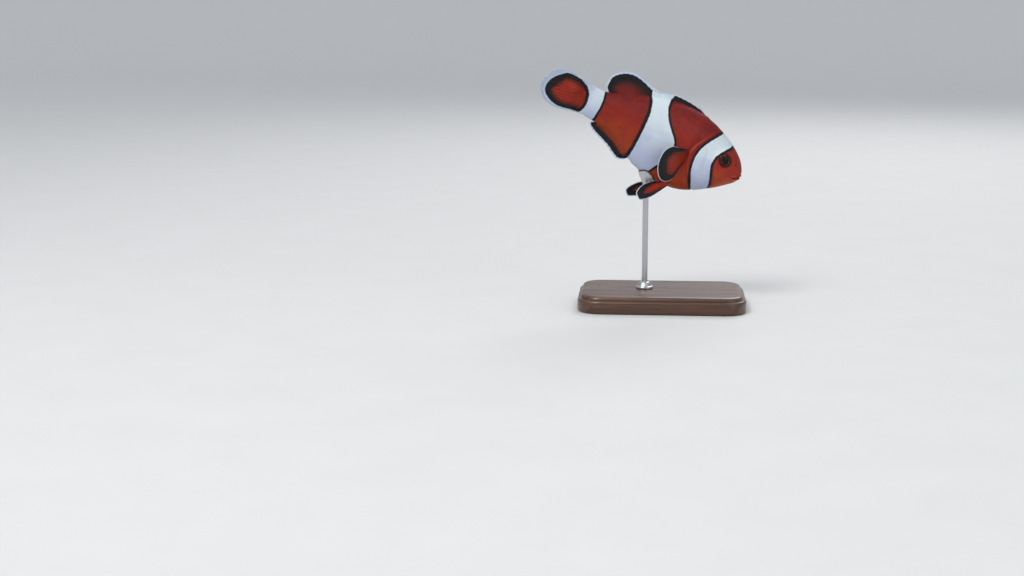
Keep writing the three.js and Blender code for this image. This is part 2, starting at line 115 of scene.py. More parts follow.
# -------------------- numbers
def profile(points):
    """A smooth curve through (x, y) points that never overshoots them."""
    x, y = np.array(points, float).T
    step = np.diff(x)
    rise = np.diff(y) / step
    slope = np.concatenate([rise[:1], np.zeros(len(x) - 2), rise[-1:]])
    steady = rise[:-1] * rise[1:] > 0
    first = (2 * step[1:] + step[:-1])[steady]
    second = (step[1:] + 2 * step[:-1])[steady]
    slope[1:-1][steady] = (first + second) / (first / rise[:-1][steady] + second / rise[1:][steady])

    def curve(at):
        at = np.clip(at, x[0], x[-1])
        i = np.clip(np.searchsorted(x, at, side="right") - 1, 0, len(step) - 1)
        t = (at - x[i]) / step[i]
        ends = (2 * t**3 - 3 * t**2 + 1) * y[i] + (3 * t**2 - 2 * t**3) * y[i + 1]
        return ends + step[i] * ((t**3 - 2 * t**2 + t) * slope[i] + (t**3 - t**2) * slope[i + 1])

    return curve


def ease(t):
    """From 0 to 1 without a corner, as t runs from 0 to 1."""
    t = np.clip(t, 0, 1)
    return t * t * (3 - 2 * t)


def bump(x, width):
    """A soft ridge, 1 at x = 0."""
    return np.exp(-((x / width) ** 2))


def lerp(a, b, t):
    return a + (b - a) * t


def join(*parts):
    """One array from its columns, such as points from their coordinates."""
    return np.stack(np.broadcast_arrays(*parts), -1)


def spaced(start, end, step):
    """Places from start to end or just past it, with the step between them given at each."""
    at = [start]
    while at[-1] < end:
        at.append(at[-1] + float(step(at[-1])))
    return np.array(at)


def spline(points):
    """A smooth line through points, as a function of 0 to 1."""
    p = np.array(points, float)
    last = len(p) - 1

    def at(t):
        place = np.clip(np.asarray(t, float), 0, 1) * last
        i = np.minimum(np.floor(place).astype(int), last - 1)
        w = (place - i)[..., None]
        before, here, there, after = (p[np.clip(i + k, 0, last)] for k in (-1, 0, 1, 2))
        leave, arrive = (there - before) / 2, (after - here) / 2
        cubic = (2 * here - 2 * there + leave + arrive) * w**3
        return cubic + (3 * there - 3 * here - 2 * leave - arrive) * w**2 + leave * w + here

    return at


def fine_line(points, pieces=6):
    """The same smooth line as short straight pieces."""
    return spline(points)(np.linspace(0, 1, (len(points) - 1) * pieces + 1))


def side_distance(points, line):
    """How far points lie behind a line that is drawn downwards in the side view."""
    at, path = (flat[..., 0] + 1j * flat[..., 1] for flat in (points, line))
    behind, last = np.full(at.shape, np.inf), len(path) - 2
    for i, step in enumerate(np.diff(path)):
        place = (at - path[i]) / step
        along = np.clip(place.real, -np.inf if i == 0 else 0, np.inf if i == last else 1)
        gap = np.copysign(np.abs(place - along) * abs(step), place.imag)
        behind = np.where(np.abs(gap) < np.abs(behind), gap, behind)
    return behind


def line_gap(points, line):
    """Distance from points to a line in space, and the share of the line passed there."""
    nearest, share = np.full(points.shape[:-1], np.inf), np.zeros(points.shape[:-1])
    lengths = np.linalg.norm(np.diff(line, axis=0), axis=1)
    passed = np.concatenate([[0], np.cumsum(lengths)])
    for i, length in enumerate(lengths):
        direction = (line[i + 1] - line[i]) / length
        t = np.clip((points - line[i]) @ direction, 0, length)
        gap = np.linalg.norm(points - line[i] - t[..., None] * direction, axis=-1)
        nearer = gap < nearest
        nearest = np.where(nearer, gap, nearest)
        share = np.where(nearer, (passed[i] + t) / passed[-1], share)
    return nearest, share


# -------------------- pose
def bend_share(s, bend):
    """The share of a bend that is passed at s; it runs on a little past its span."""
    return np.clip((s - bend[0]) / bend[1], 0, 1.2)


def heading(s):
    head = np.clip((HEAD_BEND[0] - s) / HEAD_BEND[1], 0, 1)
    turn = HEAD_TURN * (head + ease(head)) / 2
    return np.radians(turn - TAIL_TURN * bend_share(s, TAIL_BEND) - FIN_TURN * bend_share(s, FIN_BEND))


def backward(s):
    """The way back along the body, in the fish's own frame: x ahead, y left, z up."""
    turn, down = heading(s), np.radians(FIN_DROOP * bend_share(s, FIN_BEND))
    return join(-np.cos(turn) * np.cos(down), np.sin(turn) * np.cos(down), -np.sin(down))


STEP = 0.1
WALK = np.arange(-10, 135, STEP)  # values of s, at which SPINE has points of the bent axis
SPINE = np.cumsum(np.vstack([np.zeros(3), backward(WALK[:-1] + STEP / 2) * STEP]), 0)


def spine_point(s):
    return join(*(np.interp(s, WALK, line) for line in SPINE.T))


def turned(axis, degrees):
    a = math.radians(degrees)
    c, s = math.cos(a), math.sin(a)
    if axis == "Y":
        return np.array([[c, 0, s], [0, 1, 0], [-s, 0, c]])
    return np.array([[c, -s, 0], [s, c, 0], [0, 0, 1]])


POSE = turned("Z", YAW) @ turned("Y", PITCH)


def bend(straight, shift):
    """Points of straight space in the row's frame, in metres."""
    s, h, l = np.moveaxis(np.asarray(straight, float), -1, 0)
    turn = heading(s)
    left = join(np.sin(turn), np.cos(turn), 0)
    up = np.cross(left, backward(s))
    local = spine_point(s) - spine_point(PIVOT) + up * h[..., None] + left * l[..., None]
    return local * UNIT @ POSE.T + shift


back, belly, half_width = profile(BACK), profile(BELLY), profile(HALF_WIDTH)
ROD_TOP = bend([ROD_S, belly(ROD_S), 0], (0, 0, PIVOT_HEIGHT_M))
PLACE = np.array([-ROD_TOP[0] - BASE_OFFSET_M, -ROD_TOP[1], PIVOT_HEIGHT_M])


def posed(straight):
    return bend(straight, PLACE)


# -------------------- body surface
# A point of the body is given by s, by q, which runs evenly up the flank from -1
# at the belly to 1 at the back, and by its side, 1 for left and -1 for right.
RINGS, TURNS = 401, 129


def girth_tables():
    """The section angle of evenly spaced q at evenly spaced s, and the length of one flank."""
    s = np.linspace(0, SKIN_END, RINGS)
    angle = np.linspace(-math.pi / 2, math.pi / 2, 721)  # in quarters of a degree
    h = ((back(s) - belly(s)) / 2)[:, None] * np.sin(angle)
    l = half_width(s)[:, None] * np.sqrt(1 - np.abs(np.sin(angle)) ** SECTION_POWER)
    arc = np.hstack([np.zeros((RINGS, 1)), np.cumsum(np.hypot(np.diff(h), np.diff(l)), 1)])
    share = np.linspace(0, 1, TURNS)
    return np.array([np.interp(share * row[-1], row, angle) for row in arc]), arc[:, -1]


GIRTH_ANGLE, GIRTH = girth_tables()


def girth(s):
    """The length of one flank from belly to back."""
    return np.interp(s, np.linspace(0, SKIN_END, RINGS), GIRTH)


def surface(s, q, side):
    s = np.clip(s, 0, SKIN_END)
    row = s / SKIN_END * (RINGS - 1)
    column = (np.clip(q, -1, 1) + 1) / 2 * (TURNS - 1)
    i = np.minimum(row.astype(int), RINGS - 2)
    j = np.minimum(column.astype(int), TURNS - 2)
    f, g = row - i, column - j
    ahead = lerp(GIRTH_ANGLE[i, j], GIRTH_ANGLE[i, j + 1], g)
    behind = lerp(GIRTH_ANGLE[i + 1, j], GIRTH_ANGLE[i + 1, j + 1], g)
    sine = np.sin(lerp(ahead, behind, f))
    middle, half = (back(s) + belly(s)) / 2, (back(s) - belly(s)) / 2
    inside_fin = ease((s - 94) / 7.5)
    wide = half_width(s) * (1 - 0.55 * inside_fin)
    out = wide * np.sqrt(np.maximum(0, 1 - np.abs(sine) ** SECTION_POWER))
    return join(s, middle + half * sine, side * out)


def outward(s, q, side):
    """Unit normals of the body, straight up or down on its middle line."""
    along = surface(s + 0.08, q, side) - surface(s - 0.08, q, side)
    up = surface(s, q + 0.008, side) - surface(s, q - 0.008, side)
    normal = np.cross(along, up) * np.asarray(side)[..., None]
    normal[..., 2] *= ease((1 - np.abs(q)) / 0.03)
    return normal / np.maximum(np.linalg.norm(normal, axis=-1, keepdims=True), 1e-9)


def flank(s, h):
    """How far the flank lies from the middle plane at (s, h)."""
    middle, half = (back(s) + belly(s)) / 2, (back(s) - belly(s)) / 2
    return half_width(s) * np.sqrt(1 - np.minimum(1, np.abs(h - middle) / half) ** SECTION_POWER)


def flank_frame(s, h, side):
    """A point of the flank, the outward direction there and two directions along it."""
    at = lambda a, b: np.array([a, b, side * flank(a, b)])
    out = np.cross(at(s + 0.5, h) - at(s - 0.5, h), at(s, h + 0.5) - at(s, h - 0.5)) * side
    out /= np.linalg.norm(out)
    upward = np.array([0, 1, 0]) - out * out[1]
    upward /= np.linalg.norm(upward)
    return at(s, h), out, upward, np.cross(upward, out)


# -------------------- relief
COAT_DEPTH = 0.24  # how far the skin lies inside the body, 0.15 mm
GILL_LINE, CHEEK_LINE, FACE_LINE = fine_line(GILL_EDGE), fine_line(CHEEK_EDGE), fine_line(FACE_EDGE)
CANAL_LINE = fine_line(LATERAL_LINE)
GILL_TOP, GILL_STEP = 11.5, 0.42  # h where the gill opening ends, and the width of its step
MOUTH_SLOPE = (MOUTH_CORNER[1] - MOUTH_FRONT[1]) / MOUTH_CORNER[0]
MAP_SCALE = 0.0096, 0.0092  # size of one unit on the skin's flat map, along and up the flank


def on_left(points):
    """Points with those of the right half of the fish mirrored to its left."""
    return np.concatenate([points[..., :2], np.abs(points[..., 2:])], -1)


def axis_gap(points, s, h):
    """Distance from points to the line that stands out of their flank at (s, h)."""
    centre, out, _, _ = flank_frame(s, h, 1)
    away = on_left(points) - centre
    return np.linalg.norm(away - (away @ out)[..., None] * out, axis=-1)


def gill_relief(points):
    behind, h = side_distance(points, GILL_LINE), points[..., 1]
    opening = ease((GILL_TOP - h) / 3.5) * lerp(0.15, 1, ease((h + 17.5) / 4))
    step = -0.8 * ease(behind / GILL_STEP) * (1 - ease((behind - 0.4) / 4.5))
    flap = 0.16 * bump(behind + 0.45, 0.4) - 0.1 * bump(behind + 1.25, 0.35)
    folds = sum(0.13 * bump(behind + gap, 0.28) for gap in (2.3, 3.8, 5.3))
    return opening * (step + flap) - folds * ease((-9.5 - h) / 2.5)


def cheek_relief(points):
    behind, h = side_distance(points, CHEEK_LINE), points[..., 1]
    here = ease((8.6 - h) / 4.5) * ease((h + 12.4) / 2.5)
    return -0.16 * here * ease(behind / 0.9) * (1 - ease((behind - 0.9) / 3))


def mouth_gap(s, h):
    """How far points lie above the line of the mouth, and 1 where the mouth is."""
    above = (h - MOUTH_FRONT[1] - MOUTH_SLOPE * s) / math.hypot(1, MOUTH_SLOPE)
    return above, 1 - ease((s - MOUTH_CORNER[0] + 0.9) / 1.1)


def mouth_relief(s, h):
    above, here = mouth_gap(s, h)
    lips = 0.46 * bump(above - 0.74, 0.5) + 0.42 * bump(above + 0.72, 0.48)
    creases = 0.2 * bump(above - 1.75, 0.28) + 0.17 * bump(above + 1.75, 0.28)
    corner_fold = 0.22 * bump(np.hypot(s - 5.7, (h + 2.6) * 0.5), 0.5)
    lips = lips * lerp(0.55, 1, ease(s / 1.6))
    return here * (lips - creases - 0.85 * bump(above, 0.25)) - corner_fold


def eye_relief(points):
    away = axis_gap(points, *EYE)
    socket = -2.4 * ease((3.62 - away) / 0.5)
    rim = 0.26 * bump(away - 4.05, 0.36) - 0.1 * bump(away - 4.9, 0.35)
    return socket + rim + 0.12 * bump(away - 5.6, 0.5) * ease((EYE[1] - points[..., 1]) / 4)


def nostril_relief(points):
    away = axis_gap(points, *NOSTRIL)
    return 0.2 * bump(away - 0.62, 0.22) - 0.8 * bump(away, 0.34)


def pore_relief(points):
    """The pits of the head's sense canals."""
    pits = [np.array([s, h, flank(s, h)]) for s, h in PORES]
    return -0.22 * sum(bump(np.linalg.norm(on_left(points) - pit, axis=-1), 0.24) for pit in pits)


def foot_relief(s, h, l):
    """Sheaths and lobes at the feet of the fins, and the vent."""
    back_sheath = ease((s - 28.5) / 3) * ease((90 - s) / 3) * (h > 0)
    belly_sheath = ease((s - 59) / 2.5) * ease((88.5 - s) / 2.5) * (h < 0)
    sheath = 0.5 * bump(l, 1.15) * (back_sheath + belly_sheath)
    lobe_gap = np.hypot((s - PECTORAL_FOOT[0]) / 1.7, (h - PECTORAL_FOOT[1]) / 4.6)
    pelvic_gap = np.hypot((s - 35.5) / 2.6, (np.abs(l) - 3.3) / 1.3)
    vent_gap = np.hypot(s - 57.3, l)
    vent = 0.3 * bump(vent_gap - 0.8, 0.35) - 0.5 * bump(vent_gap, 0.4)
    return sheath + 0.75 * bump(lobe_gap, 0.85) + (0.45 * bump(pelvic_gap, 0.9) + vent) * (h < -15)


def relief(points):
    """How far the skin stands out from the plain body shape, at points of that shape."""
    s, h, l = np.moveaxis(points, -1, 0)
    depth = COAT_DEPTH * lerp(0.3, 1, ease(side_distance(points, FACE_LINE) / 3))
    canal = 0.06 * bump(side_distance(points, CANAL_LINE), 0.45) * ease((s - 27) / 3) * ease((82 - s) / 3)
    septum = -0.1 * bump(h - 1, 1.3) * ease((s - 40) / 15)
    head = gill_relief(points) + cheek_relief(points) + mouth_relief(s, h) + pore_relief(points)
    head = head + eye_relief(points) + nostril_relief(points)
    return head - depth + foot_relief(s, h, l) + canal + septum


def body_point(s, q, side, lift=0):
    """A point of the finished skin, or lift above it."""
    plain = surface(s, q, side)
    return plain + outward(s, q, side) * (relief(plain) + lift)[..., None]


def unwrap(s, q, side):
    """Where a body point lies on the flat map of the skin: two flanks, one above the other."""
    return join(0.01 + s * MAP_SCALE[0], 0.5 - 0.25 * side + q * girth(s) / 2 * MAP_SCALE[1])


# -------------------- markings
FAR = 9.0  # the value of a mark well away from its line
TAIL_TONE = 0.36
FINE_BARS = [(fine_line(front), before, fine_line(rear), after) for front, before, rear, after in BARS]


def bar_mark(points):
    """Below 0 inside a white bar, 0 to 1 on the black line round it, more outside."""
    mark = FAR
    for front, front_line, rear, rear_line in FINE_BARS:
        ahead, behind = -side_distance(points, front) / front_line, side_distance(points, rear) / rear_line
        mark = np.minimum(mark, np.maximum(ahead, behind))
    return mark


def body_tone(s, h):
    """0 at the belly to 1 at the back, where the orange is darkest; even towards the tail fin."""
    tone = (h - belly(s)) / np.maximum(back(s) - belly(s), 1)
    return lerp(np.clip(tone, 0, 1), TAIL_TONE, ease((s - 93) / 5))


def marks_at(points, **given):
    """The values that the looks read at points: those given, and else those of plain skin."""
    plain = {"bar": FAR, "ink": FAR, "rim": FAR, "soot": 0.0, "edge": 0.0, "tint": 0.5}
    marks = {name: np.full(len(points), value) for name, value in plain.items()}
    return {**marks, **given, "straight": points}


def body_marks(points):
    s, h, l = np.moveaxis(points, -1, 0)
    lobe_gap = np.hypot((s - PECTORAL_FOOT[0] - 0.5) / 2.2, (h - PECTORAL_FOOT[1]) / 4.4)
    above, at_mouth = mouth_gap(s, h)
    nostril = bump(np.hypot(s - NOSTRIL[0], h - NOSTRIL[1]), 0.42)
    socket = bump(np.hypot(s - EYE[0], h - EYE[1]) - 3.5, 0.45) * (np.abs(l) > 3)
    # Painted shade in the mouth's crease, in the nostril pit and round the rim of the eye socket; the
    # flank is also darker round the foot of the pectoral fin.
    soot = 0.85 * bump(lobe_gap, 0.8) * (np.abs(l) > 4)
    soot = np.clip(soot + 0.8 * bump(above, 0.27) * at_mouth + 0.8 * nostril + 0.6 * socket, 0, 1)
    return marks_at(points, bar=bar_mark(points), soot=soot, tone=body_tone(s, h))


# -------------------- meshes
def grid_faces(index):
    """Quads of a sheet of points that are numbered by index."""
    return join(index[:-1, :-1], index[1:, :-1], index[1:, 1:], index[:-1, 1:]).reshape(-1, 4)


def tube_faces(rings, around):
    """Faces of rings of points, and of the fans that close both ends at the two points after them."""
    j = np.arange(around)
    after = (j + 1) % around
    i = np.arange(rings - 1)[:, None] * around
    last, tip = (rings - 1) * around, rings * around
    quads = join(i + j, i + after, i + after + around, i + j + around).reshape(-1, 4)
    return [quads, join(after, j, tip), join(last + j, last + after, tip + 1)]


def lathe(outline, turns):
    """Points and faces of a closed turned shape; its outline runs from axis to axis."""
    angle = np.linspace(0, 2 * math.pi, turns, endpoint=False)
    r, z = np.array(outline[1:-1], float).T[..., None]
    rings = join(r * np.cos(angle), r * np.sin(angle), z).reshape(-1, 3)
    ends = [(0, 0, outline[0][1]), (0, 0, outline[-1][1])]
    return np.vstack([rings, ends]), tube_faces(len(r), turns)


def make_piece(name, vertices, faces, uv=None, marks=None, sharp_deg=None):
    """A mesh from points in metres, lists of faces, one uv per face corner and point values."""
    mesh = bpy.data.meshes.new(name)
    mesh.from_pydata(np.asarray(vertices).tolist(), [], [f for part in faces for f in part.tolist()])
    mesh.shade_smooth()
    if sharp_deg:
        mesh.set_sharp_from_angle(angle=math.radians(sharp_deg))
    if uv is not None:
        layer = mesh.uv_layers.new(name="OFBake")
        layer.uv.foreach_set("vector", np.concatenate([u.reshape(-1, 2) for u in uv]).ravel())
    for key, value in (marks or {}).items():
        vector = value.ndim == 2
        layer = mesh.attributes.new(key, "FLOAT_VECTOR" if vector else "FLOAT", "POINT")
        layer.data.foreach_set("vector" if vector else "value", value.astype(np.float32).ravel())
    piece = bpy.data.objects.new(name, mesh)
    bpy.context.scene.collection.objects.link(piece)
    return piece


def finish_piece(piece, material, nodes=()):
    piece.data.materials.append(material)
    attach(piece, "root")
    if nodes:
        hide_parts(*nodes)


# -------------------- skin
SKIN_TURNS = 128  # facets up one flank
SKIN_SPACING = profile([(0, 0.06), (3, 0.13), (16, 0.16), (36, 0.2), (48, 0.42), (101, 0.5)])


def build_skin(material):
    rings = spaced(0.03, SKIN_END, SKIN_SPACING)
    rings = rings * SKIN_END / rings[-1]
    up = np.linspace(-1, 1, SKIN_TURNS + 1)
    s, q = np.meshgrid(rings, np.concatenate([up, up[-2:0:-1]]), indexing="ij")
    left = np.arange(2 * SKIN_TURNS) <= SKIN_TURNS
    points = body_point(s, q, np.broadcast_to(np.where(left, 1.0, -1.0), s.shape))
    snout = points[0].mean(0) + np.array([1, MOUTH_SLOPE, 0]) * 0.45  # inside the mouth's crease
    tail = points[-1].mean(0) + [0.3, 0, 0]
    points = np.vstack([points.reshape(-1, 3), snout, tail])

    faces = [part[:, ::-1] for part in tube_faces(len(rings), 2 * SKIN_TURNS)]
    s, q = np.append(s, [rings[0] - 0.05, rings[-1] + 0.05]), np.append(q, [0, 0])
    face_side = np.repeat([1, -1], SKIN_TURNS)
    uv = [unwrap(s[part], q[part], np.resize(face_side, (len(part), 1))) for part in faces]
    skin = make_piece("fish_skin", posed(points), faces, uv, body_marks(points))
    flesh = ("head", "lower_jaw", "gill_cover_L", "gill_cover_R", "trunk", "tail_stem")
    finish_piece(skin, material, flesh)


# -------------------- fins
RAY_STEPS = 14  # facets from one ray to the next
BACK_ROOT, TAIL_ROOT, PECTORAL_ROOT, PELVIC_ROOT = 1.1, 2.5, 0.9, 1.6  # depth of a fin's foot


class Fin:
    """A blade round a middle surface place(u, v), with u from the first ray to the last and v
    from foot to margin.  rim and ink are the widths of its clear rim and its black band along
    the margin, and smoke is how strongly and how far the black fades inwards."""

    def __init__(self, kind, rays, bands, place, rim, ink, tone, smoke, spines=0, root=BACK_ROOT,
                 branching=1.0, scale_rows=0, letter="", parts=("",)):
        self.name, self.paired = kind + "_fin" + letter, bool(letter)
        self.nodes = ["fin_" + kind + letter + part for part in parts]
        self.rays, self.bands, self.place = rays, bands, place
        self.rim, self.ink, self.tone, self.smoke = profile(rim), profile(ink), tone, smoke
        self.spines, self.root, self.branching, self.scale_rows = spines, root, branching, scale_rows

    def length(self, u):
        return np.linalg.norm(self.place(u, np.ones_like(u)) - self.place(u, np.zeros_like(u)), axis=-1)

    def ray_ridge(self, u, v):
        """1 on a ray or spine and 0 between them, and how high it stands there."""
        along = u * (self.rays - 1)
        ray = np.round(along)
        is_spine = ray < self.spines
        branched = (~is_spine & (ray > 0) & (ray < self.rays - 1)) * self.branching
        first_split = 0.2 * ease((v - 0.42) / 0.5) * branched
        second_split = 0.09 * ease((v - 0.7) / 0.28) * branched
        off_ray = np.abs(np.abs(np.abs(along - ray) - first_split) - second_split)
        width = np.where(is_spine, lerp(0.2, 0.1, v), lerp(0.13, 0.07, v))
        height = np.where(is_spine, lerp(0.44, 0.2, v), lerp(0.38, 0.19, v))
        joint = bump(v * self.length(u) / 0.95 % 1 - 0.5, 0.14) * ease((v - 0.25) / 0.2)
        return bump(off_ray, width), height * np.where(is_spine, 1, 1 - 0.4 * joint)

    def half_thickness(self, u, v):
        length = self.length(u)
        ridge, height = self.ray_ridge(u, v)
        flare = 0.5 * np.exp(-np.maximum(0, v * length - self.root))
        from_tip, from_side = (1 - v) * length, np.minimum(u, 1 - u) * (self.rays - 1)
        rounding = lerp(0.2, 1, np.sqrt(ease(from_tip / 0.45) * ease(from_side / 0.25)))
        return (lerp(0.16, 0.08, v) + height * ridge + flare) * rounding

    def face_point(self, u, v, sign, lift=0):
        """A point of the fin's surface on the side that sign gives, or lift above it."""
        step = 0.004
        across = self.place(np.minimum(u + step, 1), v) - self.place(np.maximum(u - step, 0), v)
        along = self.place(u, np.minimum(v + step, 1)) - self.place(u, np.maximum(v - step, 0))
        normal = np.cross(across, along)
        normal /= np.linalg.norm(normal, axis=-1, keepdims=True)
        return self.place(u, v) + normal * (sign * (self.half_thickness(u, v) + lift))[..., None]

    def margin(self):
        """The free edge, up the first ray, along the tips and down the last ray."""
        first, last = self.root / self.length(np.array([0.0, 1.0]))
        sides, tips = 13, 89  # pieces of the line up one side, and along the tips
        u = np.concatenate([np.zeros(sides), np.linspace(0, 1, tips + 1), np.ones(sides)])
        rise, fall = np.linspace(first, 1, sides + 1), np.linspace(1, last, sides + 1)
        v = np.concatenate([rise, np.ones(tips - 1), fall])
        return self.place(u, v)

    def unwrap(self, u, v, sign):
        return join(0.25 + 0.25 * (1 - sign) + (u - 0.5) * 0.48, 0.01 + 0.98 * v)


def fin_marks(points, fin):
    gap, share = line_gap(points, fin.margin())
    past_rim = gap - fin.rim(share)
    past_ink = past_rim - fin.ink(share)
    strength, reach = fin.smoke
    marks = {"ink": past_ink, "rim": past_rim, "soot": strength * ease(1 - past_ink / reach)}
    if fin.paired:
        return marks_at(points, tone=np.full(len(points), fin.tone), **marks)
    s, h, _ = points.T
    tone = lerp(body_tone(s, h), fin.tone, ease(np.maximum(h - back(s), belly(s) - h) / 5))
    return marks_at(points, bar=bar_mark(points), tone=tone, **marks)


def build_fin(fin, material):
    across, up = (fin.rays - 1) * RAY_STEPS + 1, fin.bands + 1
    u, v = np.meshgrid(np.linspace(0, 1, across), np.linspace(0, 1, up), indexing="ij")
    points = np.concatenate([fin.face_point(u, v, sign).reshape(-1, 3) for sign in (1, -1)])
    near, far = np.arange(2 * across * up).reshape(2, across, up)
    edges = [(near[0], far[0], 1), (near[-1], far[-1], -1), (near[:, 0], far[:, 0], -1),
             (near[:, -1], far[:, -1], 1)]
    faces = [grid_faces(near), grid_faces(far.T)]
    faces += [grid_faces(join(one, other)[::way]) for one, other, way in edges]

    flat_u, flat_v = np.tile(u.ravel(), 2), np.tile(v.ravel(), 2)
    uv = [fin.unwrap(flat_u[f], flat_v[f], sign) for f, sign in zip(faces, (1, -1, 1, 1, 1, 1))]
    middle = np.tile(fin.place(u, v).reshape(-1, 3), (2, 1))
    ridge = fin.ray_ridge(flat_u, flat_v)[0]
    marks = {**fin_marks(middle, fin), "straight": points, "edge": ridge}
    finish_piece(make_piece(fin.name, posed(points), faces, uv, marks), material, fin.nodes)


def blade_place(rays, foot, tip, scallop, ripple):
    """A fin of the middle line.  The membrane dips between the rays and ripples a little."""
    def place(u, v):
        start, end = foot(u), tip(u)
        span = np.linalg.norm(end - start, axis=-1)
        dip = scallop * np.sin(u * (rays - 1) * math.pi) ** 2
        reach = v * (1 - dip / np.maximum(span, 1))
        wave = ripple * ease(v) * np.sin(u * 9.5 + v * 2.2)
        flat = start + (end - start) * reach[..., None]
        return np.concatenate([flat, wave[..., None]], -1)

    return place


SPINES, SOFT_RAYS = 11, 15
SPINY_FOOT, SOFT_FOOT, ANAL_FOOT = (30.5, 60.4), (61.8, 87.6), (60.5, 86.8)
SPINY_TIPS = [
    (34, 23.7), (38.5, 24.7), (43, 25.1), (47.3, 25.2), (51.3, 25), (54.8, 24.2), (58.2, 22.8),
    (61, 21.9),
]
SOFT_TIPS = [
    (62.2, 22.2), (67, 22.8), (72.5, 24), (78, 24.4), (83.2, 23.3), (87.3, 20.9), (90.2, 17.9),
    (91.6, 14.2), (90.9, 10.6),
]
ANAL_TIPS = [
    (63, -19.2), (66.5, -20.4), (70.5, -19.2), (74.5, -17.2), (78.5, -15.7), (82.3, -14.5),
    (86.3, -13.2), (89.4, -11.6), (90.6, -9.9),
]
TAIL_TIPS = [
    (111.2, 10.3), (115.4, 10.5), (119.3, 9.4), (122.9, 7.6), (125.6, 5), (127.1, 2.2),
    (127.6, -0.8), (126.9, -3.6), (125, -6.2), (122, -8.2), (118.4, -9.5), (114.4, -10.2),
    (110.2, -10.1),
]


def dorsal_parts(u):
    """The share passed of the spiny part and of the soft part, which the last spine joins."""
    ray = u * (SPINES + SOFT_RAYS - 1)
    spiny, soft = ray / (SPINES - 1), (ray - SPINES) / (SOFT_RAYS - 1)
    return np.clip(spiny, 0, 1), np.clip(soft, 0, 1), np.clip(ray - SPINES + 1, 0, 1)


def dorsal_foot(u):
    spiny, soft, joined = dorsal_parts(u)
    s = lerp(lerp(*SPINY_FOOT, spiny), lerp(*SOFT_FOOT, soft), joined)
    return join(s, back(s) - BACK_ROOT)


def dorsal_tip(u):
    spiny, soft, joined = dorsal_parts(u)
    return lerp(spline(SPINY_TIPS)(spiny), spline(SOFT_TIPS)(soft), joined[..., None])


def anal_foot(u):
    s = lerp(*ANAL_FOOT, u)
    return join(s, belly(s) + BACK_ROOT)


def tail_foot(u):
    return join(98.4 - 3.8 * np.abs(2 * u - 1) ** 3, lerp(7.1, -8.1, u))


def paired_place(foot, angles, spreads, lengths, cup, side):
    """A paired fin, which fans out from a foot on the flank and is hollowed by cup."""
    reach = profile(lengths)

    def place(u, v):
        start = foot(u)
        angle = np.radians(lerp(*angles, u))
        spread = np.radians(lerp(*spreads, u)) * (1 - 0.25 * v)
        distance = reach(u) * v
        out = distance * np.cos(angle) * np.sin(spread) + cup * np.sin(math.pi * u) * v * (1 - v) * 4
        s = start[..., 0] + distance * np.cos(angle) * np.cos(spread)
        return join(s, start[..., 1] + distance * np.sin(angle), side * (start[..., 2] + out))

    return place


def pectoral_foot(u):
    s, h = lerp(34.7, 34, u), lerp(1.2, -7, u)
    return join(s, h, flank(s, h) - PECTORAL_ROOT)


def pelvic_foot(u):
    s = lerp(34, 37, u)
    return join(s, belly(s) + PELVIC_ROOT, lerp(4.4, 2.4, u))


def make_fins():
    dorsal_rays = SPINES + SOFT_RAYS
    fins = [
        Fin("dorsal", dorsal_rays, 44, blade_place(dorsal_rays, dorsal_foot, dorsal_tip, 0.3, 0.25),
            rim=[(0, 0.3), (0.4, 0.5), (0.47, 1.5), (0.62, 1.2), (0.8, 0.9), (1, 0.5)],
            ink=[(0, 1.2), (0.4, 1.6), (0.5, 2.2), (0.75, 3.1), (0.9, 3.2), (1, 1.6)],
            tone=0.9, smoke=(1.0, 6.5), spines=SPINES, scale_rows=4, parts=("_spiny", "_soft")),
        Fin("anal", 14, 40, blade_place(14, anal_foot, spline(ANAL_TIPS), 0.25, 0.2),
            rim=[(0, 0.4), (0.3, 0.8), (1, 0.6)], ink=[(0, 1.2), (0.3, 2.6), (0.8, 2.3), (1, 1.2)],
            tone=0.3, smoke=(0.6, 3), spines=2, scale_rows=4),
        Fin("tail", 17, 84, blade_place(17, tail_foot, spline(TAIL_TIPS), 0.25, 0.4),
            rim=[(0, 0.5), (0.2, 1.3), (0.28, 2.5), (0.36, 3.2), (0.45, 3.3), (0.51, 3.1), (0.6, 2.6),
                 (0.7, 1.7), (0.78, 1.1), (1, 0.6)],
            ink=[(0, 1.2), (0.22, 2.4), (0.36, 3.8), (0.5, 4.4), (0.62, 3), (0.75, 1.9), (1, 1)],
            tone=TAIL_TONE, smoke=(0.9, 3.4), root=TAIL_ROOT, scale_rows=11),
    ]
    for side, letter in SIDES:
        pectoral = paired_place(
            pectoral_foot, (-12, -84), (42, 42),
            [(0, 13.5), (0.05, 17.8), (0.12, 20.8), (0.3, 22.9), (0.5, 21.4), (0.72, 17.5), (0.88, 13),
             (0.96, 9.8), (1, 7.5)], 0.5, side)
        pelvic = paired_place(
            pelvic_foot, (-52, -24), (38, 14),
            [(0, 13.5), (0.08, 18), (0.22, 21.3), (0.45, 20.9), (0.75, 15.5), (0.92, 10.5), (1, 7.5)],
            0.3, side)
        fins += [
            Fin("pectoral", 17, 72, pectoral, letter="_" + letter,
                rim=[(0, -0.3), (0.25, 0.3), (0.5, 0.5), (0.8, 0.3), (1, -0.3)],
                ink=[(0, 0.2), (0.16, 2.4), (0.3, 5), (0.5, 6), (0.75, 4), (1, 0.2)],
                tone=0.35, smoke=(0.6, 4), root=PECTORAL_ROOT),
            Fin("pelvic", 6, 64, pelvic, letter="_" + letter,
                rim=[(0, -0.3), (0.3, 0.3), (0.5, 0.5), (0.8, 0.3), (1, -0.3)],
                ink=[(0, 0.2), (0.3, 1.9), (0.5, 3.4), (0.8, 1.9), (1, 0.2)],
                tone=0.3, smoke=(0.5, 3), spines=1, root=PELVIC_ROOT, branching=1.4),
        ]
    return fins


